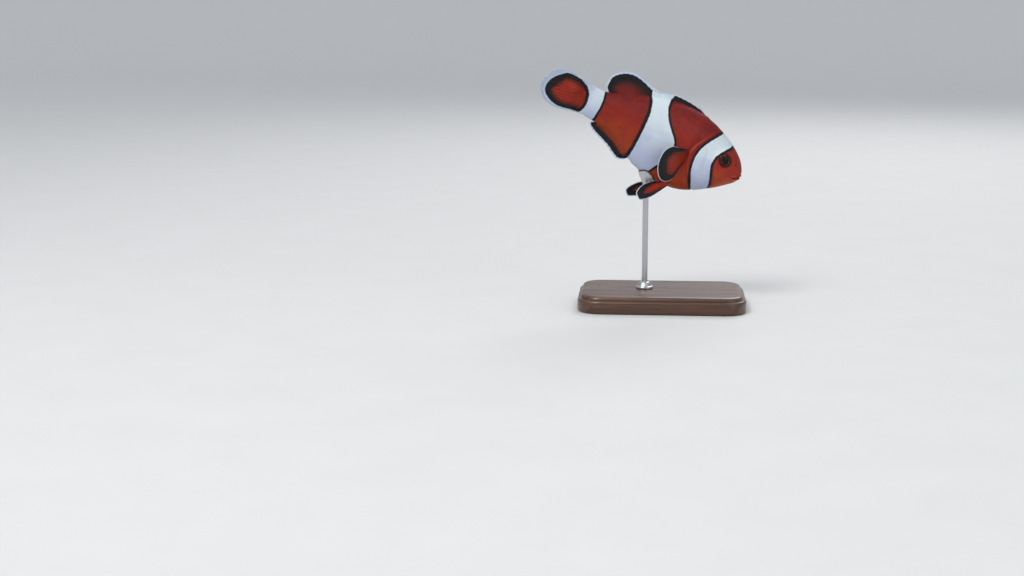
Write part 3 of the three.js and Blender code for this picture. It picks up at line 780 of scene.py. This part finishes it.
# -------------------- scales
# A scale is a thin closed plate: its root is sunk under the scales ahead of it
# and its rear edge stands free.
PLATE_LONG, PLATE_WIDE = 5, 6
PLATE_POINTS = (PLATE_LONG + 1) * (PLATE_WIDE + 1) + 1
SCALE_SIZE = profile([(12, 0.5), (22, 0.56), (30, 0.78), (38, 1), (60, 1), (80, 0.85), (100, 0.62)])
SCALES_FROM, SCALES_TO, MOST_ROWS = 9.0, 99.0, 40  # s, and rows over or under mid flank
ROW_PITCH, FIN_ROW_PITCH = 2.05, 0.62  # up the flank between scales of size 1, and out over a fin
PLATE_LENGTH, PLATE_HALF_WIDTH = 2.9, 1.18
SHORTEST_CUT = 0.36  # the least share of a scale that is kept where it is cut
PATCH = 0.003  # size of one scale on the flat map
GILL_RIM = 0.85  # width of the gill cover's bare rim
BARE_EYE_RING = 5.0  # distance from the eye's axis
MIDDLE_LINE = 0.975  # q past which scales are squeezed, so that the two flanks meet cleanly


def plate_shape():
    """Points of one plate: x from root to rear edge, y across, lift above the skin."""
    a, b = np.meshgrid(
        np.linspace(0, 1, PLATE_LONG + 1), np.linspace(-1, 1, PLATE_WIDE + 1), indexing="ij")
    x = a * (1 - 0.12 * b**2 - 0.3 * b**4)
    y = b * (0.78 + 0.22 * np.sin(math.pi * (0.15 + 0.7 * a)))
    lift = lerp(-0.16, 0.2, a) - 0.09 * b**2 * lerp(0.4, 1, a)
    return [np.append(part, under) for part, under in zip((x, y, lift), (0.5, 0.0, -0.4))]


def plate_faces():
    index = np.arange(PLATE_POINTS - 1).reshape(PLATE_LONG + 1, PLATE_WIDE + 1)
    ring = np.concatenate([index[:-1, 0], index[-1, :-1], index[:0:-1, -1], index[0, :0:-1]])
    return grid_faces(index), join(np.roll(ring, -1), ring, PLATE_POINTS - 1)


def build_coat(name, place, size, flat, tint, flipped, material, marks_of):
    """Joined scales.  place(x, y, lift) gives the points of all of them at once."""
    x, y, lift = plate_shape()
    wide = size[:, None]
    points = place(x * PLATE_LENGTH * wide, y * PLATE_HALF_WIDTH * wide, lift * wide**0.5)
    points = points.reshape(-1, 3)
    plates = [part[:, ::-1] if flipped else part for part in plate_faces()]
    first = np.arange(len(size))[:, None, None] * PLATE_POINTS
    faces = [(first + part).reshape(-1, part.shape[1]) for part in plates]
    flat_points = flat[:, None, :] + PATCH * join(x - 0.5, y / 2)
    marks = marks_of(points)
    marks["edge"] = np.tile(ease((x - 0.7) / 0.3), len(size))
    marks["across"] = np.tile(y, len(size))
    marks["tint"] = np.repeat(tint, PLATE_POINTS)
    uv = [flat_points[:, part] for part in plates]
    finish_piece(make_piece(name, posed(points), faces, uv, marks, sharp_deg=48), material)


def row_height(s, at, row):
    """q of a row at s, for a scale that grows at another s."""
    return 2 * row * ROW_PITCH * SCALE_SIZE(at) / girth(s)


def flank_point(s, at, row, side):
    return surface(s, row_height(s, at, row), np.full(np.shape(row), side))


def scale_roots(side):
    """Where scales grow on one flank: s, and the row counted in scales from mid flank."""
    columns = spaced(SCALES_FROM, SCALES_TO, SCALE_SIZE)[:, None]
    half_rows = girth(columns) / 2 / ROW_PITCH / SCALE_SIZE(columns)
    offset = np.arange(len(columns))[:, None] % 2 / 2
    s, row = np.broadcast_arrays(columns, np.arange(-MOST_ROWS, MOST_ROWS + 1) + offset)
    here = np.abs(row) < half_rows - 0.2
    s, row = s[here], row[here]
    root = flank_point(s, s, row, side)
    keep = (side_distance(root, FACE_LINE) > 0) & (axis_gap(root, *EYE) > BARE_EYE_RING)
    return s[keep], row[keep]


def gill_crossing(s, row, side):
    """The share of its length at which a scale crosses the edge of the gill cover, and
    whether it does."""
    root, tip = (flank_point(s + length, s, row, side) for length in (0, PLATE_LENGTH * SCALE_SIZE(s)))
    before, after = side_distance(root, GILL_LINE), side_distance(tip, GILL_LINE)
    crosses = (before < 0) & (after > 0) & (root[:, 1] < GILL_TOP)
    return -before / np.maximum(after - before, 0.1), crosses


def cut_at_gill(s, row, side):
    """Scales as s, row and the start and end of their length, each end as its share in the
    middle and its change from row to row.  A scale that crosses the edge of the gill cover
    is cut in two along it, and leaves the rim of the edge bare."""
    share, crosses = gill_crossing(s, row, side)
    upper, lower = (gill_crossing(s, row + step, side)[0] for step in (0.5, -0.5))
    slant = np.clip(upper - lower, -0.7, 0.7)
    length = PLATE_LENGTH * SCALE_SIZE(s)
    rim = GILL_RIM * ease((GILL_TOP - flank_point(s, s, row, side)[:, 1]) / 3)
    end = np.where(crosses[:, None], join(share - rim / length, slant), [1.0, 0.0])
    behind = join(share + GILL_STEP / length, slant)[crosses]
    start = np.concatenate([np.zeros_like(end), behind])
    end = np.concatenate([end, np.repeat([[1.0, 0.0]], len(behind), 0)])
    s, row = np.concatenate([s, s[crosses]]), np.concatenate([row, row[crosses]])
    keep = end[:, 0] - start[:, 0] > SHORTEST_CUT
    return s[keep], row[keep], start[keep], end[keep]


def build_flank_scales(side, letter, material, chance):
    s, row, start, end = cut_at_gill(*scale_roots(side), side)
    tint = chance.random(len(s))
    size = SCALE_SIZE(s) * (0.97 + 0.06 * chance.random(len(s)))
    root = flank_point(s, s, row, side)
    stand = lerp(0.35, 1, ease(side_distance(root, FACE_LINE) / 4))
    flat = unwrap(s, row_height(s, s, row), side)
    on_head = side_distance(root, GILL_LINE) < 0
    for part, chosen in (("head", on_head), ("flank", ~on_head)):
        at, at_row, rise = (values[chosen][:, None] for values in (s, row, stand))
        (low, low_slant), (high, high_slant) = (values[chosen].T[..., None] for values in (start, end))

        def place(x, y, lift):
            length = PLATE_LENGTH * SCALE_SIZE(at)
            rows_up = y / ROW_PITCH / SCALE_SIZE(at)
            share = lerp(low + low_slant * rows_up, high + high_slant * rows_up, x / length)
            along = at + length * share
            q = row_height(along, at, at_row + rows_up)
            past = np.maximum(np.abs(q) - MIDDLE_LINE, 0) / (1 - MIDDLE_LINE)
            q = np.sign(q) * (np.minimum(np.abs(q), MIDDLE_LINE) + (1 - MIDDLE_LINE) * np.tanh(past))
            return body_point(along, q, np.full(q.shape, side), lift * rise)

        build_coat(f"coat_{part}_{letter}", place, size[chosen], flat[chosen], tint[chosen],
                   side < 0, material, body_marks)


def fin_scale_roots(fin):
    """Small scales in rows over the fleshy foot of a fin, and how far out their row is."""
    gaps = fin.rays - 1
    k = np.arange(fin.scale_rows)[:, None]
    u = (np.arange(gaps) + 0.25 + k % 2 / 4) / gaps
    u = np.hstack([u, u + 0.5 / gaps])
    v = (fin.root - 0.9 + FIN_ROW_PITCH * k) / fin.length(u)
    row = np.broadcast_to(k / fin.scale_rows, u.shape)
    inside = (u > 0.01) & (u < 0.99)
    return u[inside], v[inside], row[inside]


def build_fin_scales(fin, material, chance):
    u, v, row = fin_scale_roots(fin)
    spread = np.linalg.norm(fin.place(u + 0.01, v) - fin.place(u - 0.01, v), axis=-1) / 0.02
    size = 0.475 * spread / (fin.rays - 1) / PLATE_HALF_WIDTH * (1 - 0.45 * v)
    stand = (1 - 0.75 * row)[:, None]
    for sign, word in ((1, "a"), (-1, "b")):
        def place(x, y, lift):
            across = np.clip(u[:, None] + y / spread[:, None], 0.001, 0.999)
            out = v[:, None] + x / fin.length(u)[:, None]
            return fin.face_point(across, out, sign, lift * stand - 0.08 * (1 - stand))

        build_coat(f"coat_{fin.name}_{word}", place, size, fin.unwrap(u, v, sign),
                   chance.random(len(u)), sign > 0, material, lambda points: fin_marks(points, fin))


# -------------------- eyes
PUPIL = 1.95  # radius
EYE_GAP = 0.06, 0.04  # how far the eye lies inside its radius and its depth


def build_eye(side, letter, ball_material, cornea_material):
    flat, out, upward, across = flank_frame(*EYE, side)
    centre = flat + out * (EYE_BULGE - EYE_DEPTH)
    radius, height = EYE_RADIUS - EYE_GAP[0], EYE_DEPTH - EYE_GAP[1]

    def dome(share, rise=height):
        return rise * math.sqrt(1 - share**2)

    ball = [(r, -dome(r / radius)) for r in (0, 1.2, 2.2, 3, 3.5)]
    ball += [(radius, 0), (3.68, 0.5), (3.55, 0.78), (3.35, 1.02), (3.1, 1.2), (2.8, 1.36), (2.5, 1.48),
             (2.25, 1.58), (2.1, 1.62), (PUPIL, 1.6), (PUPIL - 0.08, 1.5)]
    ball += [(PUPIL * share, 1.1 + dome(share, 0.9)) for share in (0.93, 0.85, 0.72, 0.54, 0.36, 0.18, 0)]
    cornea = [(0, 0.2), (2, 0.2), (3.4, 0.22), (3.62, 0.3)]
    cornea += [(r, dome(r / radius)) for r in (3.68, 3.55, 3.35, 3.1, 2.7, 2.2, 1.6, 1, 0.5, 0)]
    for name, outline, material, nodes in (
        ("eye_ball_", ball, ball_material, ("eye_" + letter,)),
        ("eye_cornea_", cornea, cornea_material, ()),
    ):
        points, faces = lathe(outline, turns=72)
        x, y, _ = points.T
        marks = {"radius": np.hypot(x, y), "turn": np.arctan2(y, x)}
        placed = posed(centre + points @ np.array([across, upward, out]))
        finish_piece(make_piece(name + letter, placed, faces, None, marks), material, nodes)


# -------------------- stand
# Lengths here are in mm, apart from ROD_AT and the points of a finished piece, in metres.
BASE_LENGTH, BASE_WIDTH, BASE_THICKNESS, BASE_CORNER, CORNER_STEPS = 58, 38, 6, 8, 12
# The moulded edge of the base: inset from the outline, and height.
BASE_EDGE = [
    (0.9, 0), (0.3, 0.2), (0, 0.7), (0, 3.5), (0.06, 3.9), (0.26, 4.25), (0.6, 4.45), (1.0, 4.5),
    (1.05, 4.8), (1.15, 5.2), (1.4, 5.55), (1.8, 5.8), (2.3, 5.94), (3.0, 6.0),
]
# Outlines of turned pieces: radius, and height over the base or over the belly's underside.
COLLAR = [
    (0, -0.4), (2.7, -0.4), (2.75, 0.05), (2.95, 0.12), (3.0, 0.3), (3.0, 0.75), (2.9, 0.9),
    (2.5, 0.98), (2.35, 1.1), (2.1, 1.7), (1.85, 2.2), (1.6, 2.4), (1.25, 2.45), (1.1, 2.35), (0, 2.35),
]
ROD_HEAD = [
    (1, -4.6), (1.06, -3.6), (1.3, -2.7), (1.8, -1.9), (2.45, -1.25), (2.62, -0.95), (2.62, -0.6),
    (2.5, -0.48), (1.2, -0.48), (0, -0.48),
]
PAD = [
    (0, -0.47), (2.45, -0.47), (2.66, -0.4), (2.72, -0.22), (2.66, -0.04), (2.45, 0.04), (1.2, 0.06),
    (0, 0.06),
]
# How closely a turned piece follows the belly's underside, by its height over it.
FOLLOW = profile([(-3.6, 0), (-2.7, 0.2), (-1.9, 0.5), (-1.25, 0.85), (-0.95, 1)])
ROD_AT = np.array([-BASE_OFFSET_M, 0.0])


def build_base(material):
    angle = np.concatenate([np.linspace(k, k + 1, CORNER_STEPS + 1) for k in range(4)]) * math.pi / 2
    x_side = np.repeat([1, -1, -1, 1], CORNER_STEPS + 1)
    y_side = np.repeat([1, 1, -1, -1], CORNER_STEPS + 1)
    inset, z = np.array(BASE_EDGE).T[..., None]
    x = x_side * (BASE_LENGTH / 2 - BASE_CORNER) + (BASE_CORNER - inset) * np.cos(angle)
    y = y_side * (BASE_WIDTH / 2 - BASE_CORNER) + (BASE_CORNER - inset) * np.sin(angle)
    points = join(x, y, z).reshape(-1, 3)
    around = np.arange(len(angle))[None, :]
    top = (len(BASE_EDGE) - 1) * len(angle) + around
    faces = [tube_faces(len(BASE_EDGE), len(angle))[0], around[:, ::-1], top]
    base = make_piece("stand_plinth", points * MM, faces, sharp_deg=35)
    finish_piece(base, material, ("stand_base",))


def belly_height():
    """The height of the fish's underside over the rod, as a function of x and y in metres."""
    s, q = np.meshgrid(np.linspace(ROD_S - 6, ROD_S + 6, 25), np.linspace(-1, -0.82, 12))
    skin = [surface(s, q, side).reshape(-1, 3) + [0, COAT_DEPTH * 0.5, 0] for side in (1, -1)]
    samples = posed(np.concatenate(skin))

    def terms(x, y):
        x, y = (x - ROD_AT[0]) / MM, (y - ROD_AT[1]) / MM
        return join(1, x, y, x * x, x * y, y * y)

    near = np.hypot(samples[:, 0] - ROD_AT[0], samples[:, 1] - ROD_AT[1]) < 3.6 * MM
    near &= samples[:, 2] < samples[near][:, 2].min() + 6 * MM
    fit, *_ = np.linalg.lstsq(terms(*samples[near][:, :2].T), samples[near][:, 2], rcond=None)
    return lambda x, y: terms(x, y) @ fit


def build_turned(name, outline, level, under, material, nodes):
    """A turned piece on the rod's axis, with its outline over a level in mm."""
    points, faces = lathe([(r, level + z) for r, z in outline], turns=48)
    top = under(*ROD_AT)
    follow = FOLLOW(points[:, 2] - top / MM)
    points = points * MM + [*ROD_AT, 0]
    points[:, 2] += follow * (under(points[:, 0], points[:, 1]) - top)
    finish_piece(make_piece(name, points, faces, sharp_deg=40), material, nodes)


def build_stand(wood, steel, rubber):
    build_base(wood)
    under = belly_height()
    top = float(under(*ROD_AT)) / MM
    rod = [(0, 4 - top), (1, 4 - top), *ROD_HEAD]
    build_turned("stand_post", rod, top, under, steel, ("stand_rod",))
    build_turned("stand_ferrule", COLLAR, BASE_THICKNESS, under, steel, ("stand_collar",))
    build_turned("stand_pad", PAD, top, under, rubber, ())


# -------------------- materials
def rgb(red, green, blue):
    """A screen colour, 0 to 255, as the renderer's linear colour."""
    def linear(value):
        value /= 255
        return value / 12.92 if value <= 0.04045 else ((value + 0.055) / 1.055) ** 2.4

    return (linear(red), linear(green), linear(blue), 1)


class Look:
    """A material that is being built from shader nodes."""

    def __init__(self, name):
        self.material = bpy.data.materials.new(name)
        self.material.use_nodes = True
        self.tree = self.material.node_tree
        self.tree.nodes.clear()

    def node(self, kind, inputs, output=0, **settings):
        node = self.tree.nodes.new("ShaderNode" + kind)
        for key, value in settings.items():
            setattr(node, key, value)
        for key, value in inputs.items():
            if isinstance(value, bpy.types.NodeSocket):
                self.tree.links.new(value, node.inputs[key])
            else:
                node.inputs[key].default_value = value
        return node.outputs[output]

    def attribute(self, name, output="Fac"):
        return self.node("Attribute", {}, output, attribute_name=name)

    def object_place(self, scale=None):
        place = self.node("TexCoord", {}, "Object")
        return self.stretched(place, scale) if scale else place

    def stretched(self, place, scale):
        return self.node("Mapping", {"Vector": place, "Scale": scale})

    def sum(self, a, b):
        return self.node("Math", {0: a, 1: b}, operation="ADD")

    def product(self, a, b):
        return self.node("Math", {0: a, 1: b}, operation="MULTIPLY")

    def fade(self, value, start, end, low=0.0, high=1.0):
        """From low to high without a corner, as value runs from start to end."""
        inputs = {"Value": value, "From Min": start, "From Max": end, "To Min": low, "To Max": high}
        return self.node("MapRange", inputs, interpolation_type="SMOOTHSTEP")

    def mix(self, share, a, b):
        return self.node("Mix", {0: share, 6: a, 7: b}, 2, data_type="RGBA")

    def blend(self, a, b, value, start, end, most=1.0):
        """Colour a turning to b, or most of the way to it, as value runs from start to end."""
        return self.mix(self.fade(value, start, end, 0.0, most), a, b)

    def noise(self, place, scale, detail=3.0, roughness=0.5, distortion=0.0):
        inputs = {"Vector": place, "Scale": scale, "Detail": detail, "Roughness": roughness,
                  "Distortion": distortion}
        return self.node("TexNoise", inputs, "Fac")

    def bump(self, height, depth_m):
        return self.node("Bump", {"Height": height, "Distance": depth_m, "Strength": 1.0})

    def close(self, shader):
        out = self.tree.nodes.new("ShaderNodeOutputMaterial")
        self.tree.links.new(shader, out.inputs["Surface"])
        return self.material

    def principled(self, inputs):
        return self.close(self.node("BsdfPrincipled", inputs))


ORANGE_LOW, ORANGE, ORANGE_HIGH = rgb(176, 64, 18), rgb(152, 30, 13), rgb(116, 18, 20)
WHITE_HIGH, WHITE_LOW, WHITE_SHADE = rgb(226, 236, 240), rgb(200, 208, 232), rgb(150, 160, 190)
INK, BROWN, RIM = rgb(7, 6, 9), rgb(30, 12, 9), rgb(188, 205, 226)


def fish_look(name, covering):
    """The look of the skin, of the scales or of the fins, which share one pattern."""
    look = Look(name)
    on_fin = covering == "fin"
    place, edge = look.attribute("straight", "Vector"), look.attribute("edge")
    drift = look.noise(place, 0.12, 2.0)
    wobble = look.noise(place, 0.55, 3.0, 0.6)
    grain = look.noise(place, 3.2, 4.0, 0.6)
    shift = look.sum(look.fade(wobble, 0.2, 0.8, -0.12, 0.12), look.fade(grain, 0.2, 0.8, -0.09, 0.09))

    tone = look.sum(look.attribute("tone"), look.fade(drift, 0.3, 0.7, -0.1, 0.1))
    # The orange darkens towards the back: partly the fish's own darker back, partly painted magenta light
    # from above.
    colour = look.blend(ORANGE_LOW, ORANGE, tone, 0.02, 0.5)
    colour = look.blend(colour, ORANGE_HIGH, tone, 0.5, 1.0)
    colour = look.blend(colour, ORANGE_HIGH, wobble, 0.35, 0.75, 0.2)
    colour = look.blend(colour, ORANGE_LOW, look.attribute("tint"), 0.0, 1.0, 0.14)
    colour = look.mix(look.product(edge, 0.5 if on_fin else 0.35), colour, ORANGE_HIGH)
    # Painted shade in the body's creases and pits, and darker round the pectoral fin's foot; on the fins,
    # their black fading in from the margin.
    colour = look.mix(look.attribute("soot"), colour, BROWN)
    if on_fin:
        band = look.sum(look.attribute("ink"), look.product(shift, 1.6))
        colour = look.blend(INK, colour, band, -0.35, 0.75)

    # Painted light from above: the white is lighter towards the back, and darker and bluer towards the
    # belly.
    white = look.blend(WHITE_LOW, WHITE_HIGH, tone, 0.15, 0.75)
    white = look.blend(white, WHITE_LOW, wobble, 0.4, 0.8, 0.14)
    white = look.mix(look.product(edge, 0.16), white, WHITE_SHADE)
    bar = look.sum(look.attribute("bar"), shift)
    colour = look.blend(INK, colour, bar, 0.75, 1.35)
    colour = look.blend(white, colour, bar, -0.12, 0.1)

    inputs = {
        "Roughness": look.fade(grain, 0.25, 0.75, 0.36, 0.52), "Specular IOR Level": 0.26,
        "Coat Weight": 0.1, "Coat Roughness": 0.2,
        "Subsurface Weight": 0.1, "Subsurface Radius": (0.0012, 0.0005, 0.0003),
        "Subsurface Scale": 1.0,
    }
    if on_fin:
        rim = look.sum(look.attribute("rim"), look.product(shift, 0.7))
        colour = look.blend(RIM, colour, rim, -0.14, 0.1)
        thin = look.product(look.fade(rim, 0.1, -3.2, 0.0, 0.8), look.fade(bar, 0.0, 5.0))
        thin = look.product(thin, look.fade(edge, 0.0, 1.0, 1.0, 0.6))
        inputs["Alpha"] = look.fade(thin, 0.0, 1.0, 1.0, 0.0)
    height = look.noise(look.stretched(place, (1.0, 1.6, 1.6)), 7.0, 3.0, 0.6)
    if covering == "scale":
        teeth = look.node("Math", {0: look.product(look.attribute("across"), 34.0)}, operation="SINE")
        height = look.sum(height, look.product(teeth, look.product(edge, 0.2)))
    inputs["Normal"] = look.bump(height, 0.03 * MM)
    return look.principled({**inputs, "Base Color": colour})


def eye_look():
    look = Look("eye_look")
    radius, turn = look.attribute("radius"), look.attribute("turn")
    spokes = look.node("CombineXYZ", {"X": look.product(turn, 3.0), "Y": look.product(radius, 0.6)})
    streaks = look.noise(spokes, 4.0, 4.0)
    brown = look.blend(rgb(20, 8, 5), rgb(58, 24, 9), streaks, 0.35, 0.7)
    gold = look.blend(rgb(120, 52, 14), rgb(176, 92, 28), streaks, 0.3, 0.7)
    outer = look.blend(rgb(92, 30, 11), rgb(150, 56, 16), streaks, 0.3, 0.7)
    colour = look.blend(gold, brown, radius, PUPIL + 0.1, PUPIL + 0.24)
    colour = look.blend(colour, outer, radius, 2.7, 3.3)
    colour = look.blend(rgb(2, 2, 3), colour, radius, PUPIL, PUPIL + 0.06)
    relief = look.product(streaks, look.fade(radius, PUPIL - 0.1, PUPIL + 0.4))
    return look.principled({
        "Base Color": colour, "Roughness": look.fade(streaks, 0.3, 0.7, 0.45, 0.6),
        "Specular IOR Level": 0.1, "Normal": look.bump(relief, 0.03 * MM)})


def cornea_look():
    look = Look("cornea_look")
    smudge = look.noise(look.object_place(), 900.0, 3.0)
    shine = {"Color": (0.7, 0.7, 0.7, 1), "Roughness": look.fade(smudge, 0.3, 0.7, 0.02, 0.06)}
    clear = look.node("BsdfTransparent", {"Color": (1, 1, 1, 1)})
    shares = {0: look.node("Fresnel", {"IOR": 1.38}), 1: clear, 2: look.node("BsdfGlossy", shine)}
    return look.close(look.node("MixShader", shares))


def wood_look():
    look = Look("walnut_look")
    wander = look.noise(look.object_place((18, 60, 60)), 1.0, 3.0)
    rings = look.noise(look.object_place((22, 420, 300)), 1.0, 5.0, 0.6, 0.6)
    pores = look.noise(look.object_place((260, 4200, 4200)), 1.0, 2.0)
    colour = look.blend(rgb(58, 34, 21), rgb(98, 62, 38), rings, 0.3, 0.7)
    colour = look.blend(colour, rgb(74, 42, 26), wander, 0.35, 0.7, 0.5)
    pore = look.fade(pores, 0.62, 0.72)
    return look.principled({
        "Base Color": look.mix(look.product(pore, 0.7), colour, rgb(30, 17, 11)),
        "Roughness": look.fade(rings, 0.3, 0.7, 0.42, 0.3), "Coat Weight": 0.35, "Coat Roughness": 0.2,
        "Normal": look.bump(look.sum(look.product(pore, -1.0), rings), 0.03 * MM)})


def steel_look():
    look = Look("steel_look")
    brushed = look.noise(look.object_place((300, 300, 6000)), 1.0, 3.0)
    return look.principled({
        "Base Color": look.mix(brushed, rgb(176, 178, 182), rgb(206, 207, 210)), "Metallic": 1.0,
        "Roughness": look.fade(brushed, 0.3, 0.7, 0.28, 0.42), "Normal": look.bump(brushed, 0.006 * MM)})


def rubber_look():
    look = Look("rubber_look")
    speck = look.noise(look.object_place(), 2500.0, 2.0)
    return look.principled({
        "Base Color": look.mix(speck, rgb(66, 66, 68), rgb(92, 92, 94)),
        "Roughness": look.fade(speck, 0.3, 0.7, 0.55, 0.75), "Normal": look.bump(speck, 0.01 * MM)})


def floor_look():
    look = Look("floor_look")
    place = look.object_place()
    near = look.mix(look.noise(place, 40.0, 2.0), rgb(203, 203, 202), rgb(209, 209, 208))
    away = look.node("VectorMath", {0: place}, "Value", operation="LENGTH")
    return look.principled({
        "Base Color": look.blend(near, rgb(224, 224, 224), away, 0.5, 1.8), "Roughness": 0.8})


# -------------------- model
skin_look, scale_look, fin_look = (
    fish_look(covering + "_look", covering) for covering in ("skin", "scale", "fin"))
build_skin(skin_look)
chance = np.random.default_rng(11)
for side, letter in SIDES:
    build_flank_scales(side, letter, scale_look, chance)
for fin in make_fins():
    build_fin(fin, fin_look)
    if fin.scale_rows:
        build_fin_scales(fin, fin_look, chance)

ball_look, clear_look = eye_look(), cornea_look()
for side, letter in SIDES:
    build_eye(side, letter, ball_look, clear_look)
build_stand(wood_look(), steel_look(), rubber_look())


# -------------------- floor, lights and camera
# Lengths here are in metres.
LIT_POINT = Vector((0, 0, 0.055))  # where all lights aim, near the middle of the fish


def build_floor():
    """A round floor whose rim curves up, so that no edge of it shows from any side."""
    flat, curve, height = 1.6, 0.9, 2.6
    arc = np.linspace(0, math.pi / 2, 16)[1:]
    outline = [(0, 0), (0.2, 0), (0.8, 0), (flat, 0)]
    outline += [(flat + curve * math.sin(a), curve * (1 - math.cos(a))) for a in arc]
    points, faces = lathe([*outline, (flat + curve, height), (0, height)], turns=96)
    floor = make_piece("floor", points[:-1], [part[:, ::-1] for part in faces[:2]])
    floor.data.materials.append(floor_look())


def add_light(name, place, size, watts):
    light = bpy.data.lights.new(name, "AREA")
    light.shape, light.size, light.energy = "DISK", size, watts
    lamp = bpy.data.objects.new(name, light)
    lamp.location = place
    lamp.rotation_euler = (LIT_POINT - Vector(place)).to_track_quat("-Z", "Y").to_euler()
    bpy.context.scene.collection.objects.link(lamp)


def add_camera():
    """The pivot of the pose is seen from a little above, right of and above the picture's middle."""
    lens = bpy.data.cameras.new("camera")
    lens.lens, lens.sensor_width, lens.clip_start = 60, 36, 0.02
    camera = bpy.data.objects.new("camera", lens)
    distance, elevation, down, turn = 0.594, 5, 10.168, 4.669  # angles in degrees
    rise = math.radians(elevation)
    camera.location = posed([PIVOT, 0, 0]) + distance * np.array([0, -math.cos(rise), math.sin(rise)])
    camera.rotation_euler = (math.radians(90 - down), 0, math.radians(turn))
    bpy.context.scene.collection.objects.link(camera)
    bpy.context.scene.camera = camera


build_floor()
add_light("key", (-0.35, -0.5, 0.75), 0.4, 5)
add_light("fill", (0.7, -0.55, 0.35), 0.6, 1)
add_light("back", (0.2, 0.65, 0.6), 0.5, 2.5)
world = bpy.data.worlds.new("studio")
world.use_nodes = True
sky = world.node_tree.nodes["Background"].inputs
sky["Color"].default_value, sky["Strength"].default_value = (0.9, 0.94, 1, 1), 0.85
bpy.context.scene.world = world
bpy.context.scene.view_settings.view_transform = "Standard"
add_camera()
